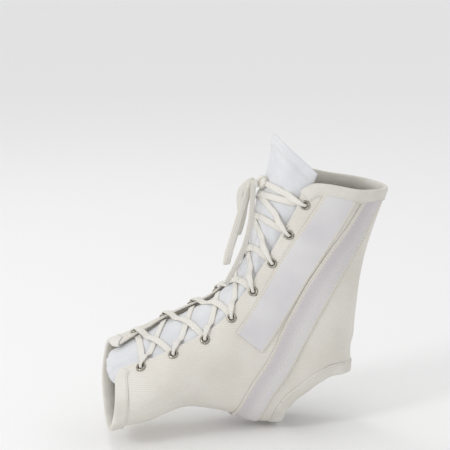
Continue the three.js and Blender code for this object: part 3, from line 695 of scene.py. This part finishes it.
def shares_across(count):
    """Shares from 0 to 1 across the canvas, closer together at its front corners."""
    corner = np.array([0, 0.003, 0.006, 0.011, 0.018, 0.026, 0.036, 0.048])
    return np.concatenate([corner, np.linspace(0.06, 0.94, count), 1 - corner[::-1]])


canvas_across = shares_across(230)
canvas_rise = np.linspace(0, 1, 190)
canvas_turn, canvas_station = canvas_place(canvas_across[None, :], canvas_rise[:, None])
wave = soft_waves(canvas_turn, canvas_station)
canvas_outer = skin(canvas_turn, canvas_station, CANVAS_WALL + wave)
canvas_inner = skin(canvas_turn, canvas_station, wave)
cell_middle = (cell(canvas_outer) + cell(canvas_inner)) / 2
near_heel = smooth_line(HEEL_EDGE, 9, evenness=0)
hole_middle = (HEEL_EDGE[0][1] + HEEL_EDGE[-1][1]) / 2
hole_station = hole_middle + (cell(canvas_station) - hole_middle) / HOLE_MARGIN
heel_turn = np.interp(hole_station, near_heel[::-1, 1], near_heel[::-1, 0], left=200, right=200)
kept_cells = fold_turn(cell(canvas_turn)) < heel_turn - HOLE_MARGIN_TURN
for centre in eyelet_centres:
    kept_cells &= size_of(cell_middle - centre) > EYELET_CUT_RADIUS

duck = Finish("cotton duck", Sheen_Weight=0.15, Specular_IOR_Level=0.15)
x, y, z = duck.place()
drift = duck.noise(28, 2)
slub = duck.noise(420)
weft = ((z * 4700 + drift * 5 + slub * 1.2).sine() + 1) / 2
warp = (((x + y) * 6900 + slub * 2).sine() + 1) / 2
duck_colour = duck.blend(drift.within(0.3, 0.7), (0.745, 0.72, 0.665), (0.82, 0.8, 0.755))
duck_colour = duck.blend(weft * 0.22 + slub * 0.25, duck_colour, (0.58, 0.53, 0.45))
cotton_duck = duck.surface(duck_colour, 0.82 + slub * 0.12,
                           weft * 0.6 + warp * 0.35 + slub * 0.4, 0.00014)
canvas = dress(cloth("canvas_body", canvas_outer, canvas_inner, cotton_duck, kept_cells),
               "canvas_shell")
declare_cloth(canvas, canvas_outer, kept_cells, wide=np.max, held="stretched")

# %% [markdown]
# ## Tape on the edges
# The same woven tape is folded over the top edge, the toe edge and the heel opening.
# One U-shaped profile is swept along each edge, square to it, with a round nose. A row
# of stitches near the tape's inner edge holds it down.

# %% Tape
TAPE_PROFILE = np.array([
    (0.009, 0.00212), (0.009, 0.00262), (0.0086, 0.00285), (0.006, 0.0029), (0.003, 0.003),
    (0.0008, 0.00298), (-0.0004, 0.0026), (-0.001, 0.0018), (-0.00112, 0.001), (-0.001, 0.0002),
    (-0.0004, -0.0006), (0.0008, -0.0009), (0.009, -0.0009), (0.009, -0.0002), (0.0002, -0.0002),
    (-0.0004, 0.0003), (-0.0004, 0.0017), (0.0002, 0.00212),
])
NEAR_TAPE_EDGE = 0.0078
SEAM_HEIGHT = 0.00288


def headings(line, closed):
    if closed:
        return unit(np.roll(line, -1, axis=0) - np.roll(line, 1, axis=0))
    return unit(np.gradient(line, axis=0))


def tape(name, node, turn, station, inside, closed=False):
    """Tape folded over an edge. inside is 1 when the canvas lies to its left."""
    heading = headings(form(turn, station), closed)
    count, size = len(turn), len(TAPE_PROFILE)
    wide = np.ones((count, size))
    ahead = np.broadcast_to(heading[:, None], (count, size, 3))
    there = walk(turn[:, None] * wide, station[:, None] * wide, ahead,
                 inside * TAPE_PROFILE[:, 0] * wide)
    rings = skin(*there, TAPE_PROFILE[:, 1] * wide)
    round_way = lengths_along(np.column_stack([TAPE_PROFILE, np.zeros(size)]))
    along_way = lengths_along(form(turn, station))
    uvs = np.stack(np.broadcast_arrays(round_way[None, :], along_way[:, None]), axis=-1)
    piece = add_mesh(name, rings.reshape(-1, 3), ring_faces(count, size, closed), twill_tape,
                     uvs.reshape(-1, 2))
    dress(piece, node)
    seam = walk(turn, station, heading, inside * NEAR_TAPE_EDGE * np.ones(count))
    line = skin(*seam, np.full(count, SEAM_HEIGHT))
    seam_piece = stitches(name + "_stitches", line, outward(*seam))
    closing = size_of(TAPE_PROFILE[0] - TAPE_PROFILE[-1])
    declare_sheet(piece, (round_way[-1] + closing) / 2, along_way[-1], held="folded",
                  rests_on=["canvas_body"], with_pieces=[seam_piece])


twill = Finish("twill tape", Sheen_Weight=0.2, Specular_IOR_Level=0.2)
across, along = twill.across_and_along()
rib = ((across * 5200 + along * 5200).sine() + 1) / 2
lint = twill.noise(700)
wear = twill.noise(45, 2)
twill_colour = twill.blend(wear.within(0.3, 0.7), (0.7, 0.675, 0.62), (0.8, 0.785, 0.745))
twill_tape = twill.surface(twill.blend(rib * 0.12 + lint * 0.12, twill_colour, (0.54, 0.49, 0.41)),
                           0.75 + lint * 0.2, rib * 0.6 + lint * 0.5, 0.00012)

edge_across = shares_across(190)
top_edge = canvas_place(edge_across, np.ones(len(edge_across)))
toe_edge = canvas_place(edge_across, np.zeros(len(edge_across)))
tape("top_tape", "top_binding", *top_edge, -1)
tape("toe_tape", "toe_binding", *toe_edge, 1)
far_heel = near_heel[1:-1][::-1] * np.array([-1, 1]) + np.array([360, 0])
heel_edge = np.concatenate([near_heel, far_heel])
tape("heel_tape", "heel_binding", heel_edge[:, 0], heel_edge[:, 1], -1, closed=True)

# %% [markdown]
# ## Tongue
# The tongue is a soft padded flap under the lacing. It stands past the top edge with a
# gabled end that leans forward, and comes out at the toe with a rounded, creased end. A
# hem seam crosses it a little below its top.

# %% Tongue
TONGUE_WALL = 0.0016
TONGUE_DEPTH = 0.003
TONGUE_LAP = 0.007
TONGUE_TOE_LENGTH = 0.009
TONGUE_SIDE_RISE = 0.010
TONGUE_PEAK_RISE = 0.033
TONGUE_FLARE = 0.007
TONGUE_GABLE = 1.5
TONGUE_COLUMNS = 61
HEM_DEPTH = 0.009
HEM_SPREAD = 0.0011
HEM_GROOVE = 0.0009
PADDING = 0.0007
CREASED_TOE = 0.06
QUARTER_TURNS = ROUND_TURNS[:91]

table_stations = np.linspace(0, 1, 101)
table_ways = np.array([lengths_along(form(QUARTER_TURNS, s)) for s in table_stations])


def turns_at(station, length):
    """turn_at for whole arrays of places."""
    flat_station, flat_length = np.ravel(station), np.ravel(length)
    at = np.clip(flat_station * (len(table_stations) - 1), 0, len(table_stations) - 1.000001)
    low = at.astype(int)
    ways = table_ways[low] + (table_ways[low + 1] - table_ways[low]) * (at - low)[:, None]
    turns = [np.interp(goal, way, QUARTER_TURNS) for goal, way in zip(flat_length, ways)]
    return np.array(turns).reshape(np.shape(station))


top_length = size_of(station_slope(0, 1))


def tongue_place(across_share, along_share):
    """Turn, held station, free station and way below the top of a place on the tongue."""
    toe_length = TONGUE_TOE_LENGTH * np.sqrt(1 - 0.9 * across_share ** 2)
    peak = 1 - np.abs(across_share) ** TONGUE_GABLE
    rise = TONGUE_SIDE_RISE + (TONGUE_PEAK_RISE - TONGUE_SIDE_RISE) * peak
    toe = -toe_length / size_of(station_slope(0, 0))
    station = toe * (1 - along_share) + (1 + rise / top_length) * along_share
    held = np.clip(station, 0, 1)
    half_width = throat_length(held) + TONGUE_LAP
    turn = np.sign(across_share) * turns_at(held, np.abs(across_share) * half_width)
    below_top = (1 + rise / top_length - station) * top_length
    return turn, held, station, below_top


tongue_across, tongue_along = np.meshgrid(np.linspace(-1, 1, TONGUE_COLUMNS),
                                          np.linspace(0, 1, 171))
tongue_turn, held, tongue_station, below_top = tongue_place(tongue_across, tongue_along)
past_top = np.maximum(0, tongue_station - 1) * top_length / TONGUE_PEAK_RISE
past_toe = np.maximum(0, CREASED_TOE - tongue_station) / CREASED_TOE
tongue_past = ((tongue_station - held) * size_of(station_slope(0, held)))[..., None]
hem_line = np.exp(-((below_top - HEM_DEPTH) / HEM_SPREAD) ** 2)
puff = PADDING * (1 - np.abs(tongue_across) ** 6) - HEM_GROOVE * hem_line
puff += 0.0007 * past_toe * np.sin(11 * tongue_across + 5 * tongue_along)
puff += 0.0005 * np.sin(7 * tongue_across + 40 * tongue_along) * np.sin(31 * tongue_along)
lean = tongue_past * unit(station_slope(tongue_turn, held))
tongue_height = -TONGUE_DEPTH + TONGUE_FLARE * past_top ** 2
tongue_outer = skin(tongue_turn, held, tongue_height + puff) + lean
tongue_inner = skin(tongue_turn, held, tongue_height - TONGUE_WALL - 0.3 * puff) + lean

quilt = Finish("padded cotton", Sheen_Weight=0.3, Specular_IOR_Level=0.15)
across, along = quilt.across_and_along()
nap = quilt.noise(650)
patches = quilt.noise(40, 2)
weave = ((across * 6600).sine() * (along * 6600).sine() + 1) / 2
quilt_colour = quilt.blend(patches.within(0.3, 0.7), (0.68, 0.69, 0.715), (0.77, 0.775, 0.79))
padded_cotton = quilt.surface(quilt.blend(nap * 0.2, quilt_colour, (0.5, 0.51, 0.56)),
                              0.8 + nap * 0.15, weave * 0.4 + nap * 0.6, 0.00013)
tongue = dress(cloth("tongue_pad", tongue_outer, tongue_inner, padded_cotton),
               "tongue")
hem_row = np.argmin(np.abs(below_top - HEM_DEPTH), axis=0)[3:-3]
hem_column = np.arange(TONGUE_COLUMNS)[3:-3]
hem_points = tongue_outer[hem_row, hem_column]
hem_lift = outward(tongue_turn, held)[hem_row, hem_column]
hem_points = np.array([np.convolve(np.pad(values, 3, mode="edge"), np.ones(7) / 7, "valid")
                       for values in hem_points.T]).T
stitches("hem_stitches", hem_points, hem_lift)

# %% [markdown]
# ## Bands
# Two kinds of woven band are sewn on the canvas. The satin band lies along the front of
# each side and ends square above the arch. The ribbed webbing runs under the arch and up
# both sides in one length. Both end under the top tape.

# %% Bands
PANEL_WIDTH = 0.0252
STRAP_WIDTH = 0.0216
BAND_BASE = 0.00212
BAND_TOP = 0.0031
PANEL_LINE = [(67, 0.385), (58.5, 0.453), (59.5, 0.579), (73, 0.739), (85, 0.856),
              (92, 0.979), (95, 1.06)]
STRAP_LINE = [(180, 0.36), (156, 0.361), (127, 0.369), (109, 0.392), (95, 0.423), (82, 0.49),
              (80, 0.565), (87.5, 0.673), (102.5, 0.777), (115, 0.855), (124, 0.916),
              (129, 0.974), (133, 1.06)]
UNDER_TAPE = 0.007
STRAP_ROWS = 190
EASING = 16
SETTLING = 6


def eased(line, reach=EASING):
    """A line with its small kinks spread out. Its ends stay where they are."""
    window = np.ones(2 * reach + 1) / (2 * reach + 1)
    for _ in range(3):
        longer = np.pad(line, ((reach, reach), (0, 0)), mode="reflect", reflect_type="odd")
        line = np.array([np.convolve(values, window, "valid") for values in longer.T]).T
    return line


def band_places(line, width, rows, columns):
    """Turns and stations of a band's grid. It ends a little under the top tape."""
    fine = eased(smooth_line(line, 40, evenness=0))
    share = np.linspace(0, 1, len(fine))
    heading = eased(headings(form(fine[:, 0], fine[:, 1]), False))
    side = np.linspace(-0.5, 0.5, columns) * width

    def there(at):
        turn, station = np.moveaxis(at_ways(fine, share, at), -1, 0)
        ahead = unit(at_ways(heading, share, at))
        return walk(turn, station, ahead, np.broadcast_to(side, at.shape))

    turn, station = there(share[:, None] * np.ones(columns))
    limit = edge_station(turn, 1) - UNDER_TAPE / size_of(station_slope(turn, 1))
    last = np.array([np.interp(0, (station - limit)[:, j], share) for j in range(columns)])
    return there(np.linspace(0, 1, rows)[:, None] * last)


def settled(turn, station):
    """The same places, moved along the form until each column of them runs smooth."""
    for _ in range(2):
        points = form(turn, station)
        smooth = eased(points.reshape(len(points), -1), SETTLING).reshape(points.shape)
        turn, station = moved(turn, station, smooth - points)
    return turn, station


def band(name, node, turn, station, material):
    """A band on the canvas with a row of stitches down both edges."""
    turn, station = settled(turn, station)
    wave = soft_waves(turn, station)
    outer, inner = skin(turn, station, BAND_TOP + wave), skin(turn, station, BAND_BASE + wave)
    piece = dress(cloth(name, outer, inner, material), node)
    seams = [stitches(f"{name}_{which}_stitches", outer[:, j], outward(turn[:, j], station[:, j]))
             for which, j in (("front", -2), ("back", 1))]
    declare_cloth(piece, outer, held="stretched", rests_on=["canvas_body"], with_pieces=seams)


satin = Finish("satin band", Sheen_Weight=0.25, Specular_IOR_Level=0.45, Anisotropic=0.4)
across, along = satin.across_and_along()
thread_run = satin.node("ShaderNodeTexNoise", Scale=260, Detail=2,
                        Vector=satin.node("ShaderNodeCombineXYZ", X=across * 14, Y=along))
sweep = satin.noise(30, 2)
satin_colour = satin.blend(sweep.within(0.3, 0.7), (0.655, 0.64, 0.655), (0.735, 0.725, 0.73))
satin_colour = satin.blend(thread_run * 0.22, satin_colour, (0.48, 0.46, 0.48))
selvage = across.size().within(PANEL_WIDTH / 2 - 0.0019, PANEL_WIDTH / 2 - 0.0012)
satin_cloth = satin.surface(satin.blend(selvage * 0.8, satin_colour, (0.74, 0.71, 0.64)),
                            0.42 + thread_run * 0.15 + selvage * 0.3, thread_run, 0.00006)

webbing = Finish("ribbed webbing", Sheen_Weight=0.2, Specular_IOR_Level=0.3)
across, along = webbing.across_and_along()
rib = ((along * 4200).sine() + 1) / 2
pick = ((across * 8200).sine() + 1) / 2
fibre = webbing.noise(800)
# The webbing goes from a light tone along one edge to mauve along the other. This is partly its own
# tone and partly painted shade across the curved strap.
webbing_colour = webbing.blend(across.within(-0.004, 0.006),
                               (0.76, 0.745, 0.745), (0.66, 0.625, 0.64))
webbing_colour = webbing.blend(rib * 0.25 + fibre * 0.15, webbing_colour, (0.5, 0.45, 0.47))
# Painted shade: the webbing is darkened towards the top of the strap, by height alone.
painted_top_shade = webbing.place()[2].within(-0.03, 0.11)
webbing_colour = webbing.blend(painted_top_shade * 0.3, webbing_colour, (0.5, 0.46, 0.48))
selvage = across.size().within(STRAP_WIDTH / 2 - 0.0024, STRAP_WIDTH / 2 - 0.0016)
webbing_colour = webbing.blend(selvage * 0.85, webbing_colour, (0.74, 0.71, 0.64))
ribbed_webbing = webbing.surface(webbing_colour, 0.6 + fibre * 0.2,
                                 rib * 0.8 + pick * 0.2 + fibre * 0.2, 0.00022)

panel_turn, panel_station = band_places(PANEL_LINE, PANEL_WIDTH, 120, 25)
band("satin_near", "side_panel_near", panel_turn, panel_station, satin_cloth)
band("satin_far", "side_panel_far", 360 - panel_turn[:, ::-1], panel_station[:, ::-1],
     satin_cloth)
strap_turn, strap_station = band_places(STRAP_LINE, STRAP_WIDTH, STRAP_ROWS, 21)
strap_turn += (180 - strap_turn[:1]) * np.exp(-np.arange(STRAP_ROWS) / 6)[:, None]
whole_turn = np.concatenate([360 - strap_turn[:0:-1], strap_turn])
whole_station = np.concatenate([strap_station[:0:-1], strap_station])
band("stirrup_webbing", "stirrup_strap", whole_turn, whole_station, ribbed_webbing)

# %% [markdown]
# ## Eyelets
# Each eyelet is a rolled nickel ring: a flange with a round rim, and a barrel that goes
# through the canvas. All sixteen are turned from one profile.

# %% Eyelets
EYELET_PROFILE = np.array([
    (1.95, -0.4), (1.95, 1.6), (2.02, 2.3), (2.2, 2.8), (2.55, 3.05), (3, 3), (3.4, 2.8),
    (3.65, 2.5), (3.7, 2.25), (3.6, 2.12), (2.5, 2.12), (2.5, -0.4),
]) * mm
EYELET_SIDES = 40

nickel = Finish("nickel", Metallic=1.0)
tarnish_and_painted_reflection = nickel.noise(900)
# Both tones are painted dark as a painted reflection of dark surroundings on the plated metal. The
# noise mottles the colour between them at random.
nickel_colour = nickel.blend(tarnish_and_painted_reflection.within(0.35, 0.65), (0.3, 0.27, 0.22), (0.5, 0.47, 0.42))
nickel_plate = nickel.surface(nickel_colour, 0.18 + tarnish_and_painted_reflection * 0.15, tarnish_and_painted_reflection, 0.00002)
ring = round_angles(EYELET_SIDES)
size = len(EYELET_PROFILE)
eyelet_faces = [face[::-1] for face in ring_faces(EYELET_SIDES, size, closed=True)]
for side_name, sign in (("near", 1), ("far", -1)):
    for k, (turn, station) in enumerate(zip(eyelet_turns, eyelet_stations)):
        normal = outward(sign * turn, station)
        first = unit(station_slope(sign * turn, station))
        second = np.cross(normal, first)
        centre = skin(sign * turn, station, soft_waves(sign * turn, station))
        radial = np.cos(ring)[:, None] * first + np.sin(ring)[:, None] * second
        points = centre + radial[:, None] * EYELET_PROFILE[:, :1] + normal * EYELET_PROFILE[:, 1:]
        ring_piece = add_mesh(f"ring_{side_name}_{k + 1}", points.reshape(-1, 3), eyelet_faces,
                              nickel_plate)
        dress(ring_piece, f"eyelet_{side_name}_{k + 1}")
print(2 * len(eyelet_turns), "eyelets")

# %% [markdown]
# ## The lacing
# The lace comes up through each eyelet, over its flange and the facing, across the
# tongue, and goes in under the canvas on the other side, one pair higher. One strand of
# each crossing rises over the other. The heights are listed for both ends of a strand.

# %% The held lace
GATHERED = np.array([0.0025, 0.0012])
FLAT = np.array([LACE_WIDTH, LACE_THICKNESS])
ON_TONGUE = -0.0017
UNDER_CANVAS = -0.0015
ON_CANVAS = 0.0031
ON_FLANGE = 0.0042
LACE_CROSSING = 0.0013
LACE_OUT = [(-0.3, 0.001, 1), (-0.3, 0.003, 1), (1, ON_FLANGE, 1), (3, ON_FLANGE, 0.8),
            (5.4, ON_FLANGE - 0.0005, 0.3), (8.6, ON_CANVAS, 0),
            (11.4, (ON_CANVAS + ON_TONGUE) / 2, 0), (14.6, ON_TONGUE, 0)]
LACE_IN = [(8, UNDER_CANVAS, 0), (3.4, UNDER_CANVAS, 0.3), (0.8, UNDER_CANVAS + 0.0001, 1),
           (0, 0.0002, 1)]
LACE_STEP = 0.0075
CROSSING_REACH = 0.006
CROSSING_RUN = 0.004
KNOT_STATION = 0.957
KNOT_TURN = 4
KNOT_SIZE = np.array([0.0065, 0.005, 0.0034])


def lace_run(start, end, first, last, height_between):
    """Points, sides, widths and thicknesses of the lace between two places."""
    start, end = np.array(start, dtype=float), np.array(end, dtype=float)
    shares = np.linspace(0, 1, 60)
    route = start + (end - start) * shares[:, None]
    ways = lengths_along(form(route[:, 0], route[:, 1]))
    first_way, last_way = first[-1][0] * mm, ways[-1] - last[0][0] * mm
    count = max(1, round((last_way - first_way) / LACE_STEP) - 1)
    rows = [(way * mm, height, gather) for way, height, gather in first]
    for way in np.linspace(first_way, last_way, count + 2)[1:-1]:
        rows.append((way, height_between(way, ways[-1]), 0))
    rows += [(ways[-1] - way * mm, height, gather) for way, height, gather in last]
    way, height, gather = np.array(rows).T
    share = way / ways[-1]
    turn, station = start[:, None] + (end - start)[:, None] * share
    turn_step, station_step = (end - start) * TINY
    heading = form(turn + turn_step, station + station_step) - form(turn, station)
    sides = unit(np.cross(outward(turn, station), heading))
    sizes = FLAT + (GATHERED - FLAT) * gather[:, None]
    return np.hstack([skin(turn, station, height), sides, sizes])


def flat_way(way, length):
    return ON_TONGUE


def crossing(lower, upper, on_top):
    def height(way, length):
        middle = length * lower[0] / (lower[0] - upper[0])
        away = max(0, abs(way - middle) - CROSSING_REACH) / CROSSING_RUN
        return ON_TONGUE + (LACE_CROSSING * max(0, 1 - away) if on_top else 0)
    return lace_run(lower, upper, LACE_OUT, LACE_IN, height)


def tie(eyelet, sign):
    """From the top eyelet over the tongue to the side of the knot."""
    turn = sign * turn_at(KNOT_STATION, KNOT_SIZE[0] - 0.001) + KNOT_TURN
    end = [(0, ON_TONGUE + KNOT_SIZE[2] / 2, 0.4)]
    return lace_run(eyelet, (turn, KNOT_STATION), LACE_OUT, end, flat_way)


near_row = list(zip(eyelet_turns, eyelet_stations))
far_row = [(-turn, station) for turn, station in near_row]
rows = [near_row, far_row]
last = EYELET_PAIRS - 1
going_down = [tie(near_row[0], 1)[::-1]]
coming_up = []
for k in range(last):
    going_down.append(crossing(rows[(k + 1) % 2][k + 1], rows[k % 2][k], k % 2 == 0)[::-1])
    coming_up.insert(0, crossing(rows[k % 2][k + 1], rows[(k + 1) % 2][k], k % 2 == 1))
bar = lace_run(rows[last % 2][last], rows[(last + 1) % 2][last], LACE_IN[::-1], LACE_IN, flat_way)
held_lace = np.concatenate(going_down + [bar] + coming_up + [tie(far_row[0], -1)])
for i in range(1, len(held_lace)):
    if held_lace[i, 3:6] @ held_lace[i - 1, 3:6] < 0:
        held_lace[i, 3:6] *= -1
held_lace = smooth_line(held_lace, 6)
lacing = ribbon("lace_braid", held_lace[:, :3], held_lace[:, 3:6], held_lace[:, 6], held_lace[:, 7],
                braided_cotton)
dress(lacing, "lace")
print("held lace is", round(lengths_along(held_lace[:, :3])[-1] * 1000), "mm long")

# %% [markdown]
# ## The knot
# The bow's knot is a soft lump of braid: a core where the strands cross, and one wrap
# of lace drawn tight round its middle.

# %% Knot
knot_normal = outward(KNOT_TURN, KNOT_STATION)
knot_up = unit(station_slope(KNOT_TURN, KNOT_STATION))
knot_side = np.cross(knot_up, knot_normal)
knot_centre = skin(KNOT_TURN, KNOT_STATION, -TONGUE_DEPTH + 0.0003 + KNOT_SIZE[2])
frame_of_knot = np.stack([knot_side, knot_up, knot_normal])


def knot_points(points):
    """Points given in shares of the knot's half sizes, put in their place."""
    return knot_centre + (np.asarray(points) * KNOT_SIZE) @ frame_of_knot


CORE_RINGS = 33
CORE_SIDES = 64
WRAP_THICKNESS = 0.0011
lat, lon = np.meshgrid(np.linspace(-math.pi / 2, math.pi / 2, CORE_RINGS), round_angles(CORE_SIDES))
core = np.stack([np.cos(lat) * np.cos(lon), np.sin(lat), np.cos(lat) * np.sin(lon)], axis=-1)
core *= 0.97 + 0.05 * np.sin(5 * core[..., :1] + 2) * np.cos(4 * core[..., 1:2])
core *= 1 - 0.12 * np.exp(-(core[..., :1] / 0.4) ** 2)
core[..., 2] *= 1.22
core_points = core.transpose(1, 0, 2).reshape(-1, 3)
core_faces = [face[::-1] for face in ring_faces(CORE_RINGS, CORE_SIDES)[:-2]]
core_uvs = np.stack([lon.T * 0.003, lat.T * 0.004], axis=-1).reshape(-1, 2)
core_piece = add_mesh("knot_core", knot_points(core_points), core_faces, braided_cotton, core_uvs)
angle = np.linspace(-0.2, 2 * math.pi + 0.9, 90)
wrap = np.stack([0.02 + 0.07 * angle / math.pi, 0.9 * np.cos(angle), 1.08 * np.sin(angle)], axis=-1)
wrap_sides = np.tile(knot_side, (len(angle), 1))
wrap_piece = ribbon("knot_wrap", knot_points(wrap), wrap_sides, np.full(len(angle), LACE_WIDTH),
                    np.full(len(angle), WRAP_THICKNESS), braided_cotton)
for piece in (core_piece, wrap_piece):
    dress(piece, "lace_knot")

# %% [markdown]
# ## Floor and light
# The brace stands on a plain pale floor, under a soft light from the upper left and
# a weaker one from behind. The plain colour view keeps white cloth white.

# %% Floor and light
FLOOR = -0.0775
bpy.ops.mesh.primitive_plane_add(size=30, location=(0, 0, FLOOR))
floor = bpy.context.object
floor.name = "floor"
paper = Finish("paper", Roughness=0.9, Specular_IOR_Level=0.1)
grain = paper.noise(300)
floor.data.materials.append(
    paper.surface(paper.blend(grain, (0.93, 0.93, 0.93), (0.97, 0.97, 0.97)), 0.9))

bpy.context.scene.view_settings.view_transform = "Standard"
world = bpy.data.worlds.new("studio")
bpy.context.scene.world = world
world.use_nodes = True
background = world.node_tree.nodes["Background"]
background.inputs["Color"].default_value = (1, 1, 1, 1)
background.inputs["Strength"].default_value = 0.8


def softbox(name, place, power):
    light = bpy.data.lights.new(name, "AREA")
    light.shape = "DISK"
    light.size = 0.4
    light.energy = power
    lamp = bpy.data.objects.new(name, light)
    lamp.location = place
    lamp.rotation_euler = Vector(place).to_track_quat("Z", "Y").to_euler()
    bpy.context.scene.collection.objects.link(lamp)


softbox("key", (-1.3, -0.7, 0.8), 6)
softbox("rim", (-0.3, 0.9, 1.3), 2)
print("floor at", FLOOR)

# %% [markdown]
# ## Update
# The view layer is brought up to date.

# %% Update
bpy.context.view_layer.update()
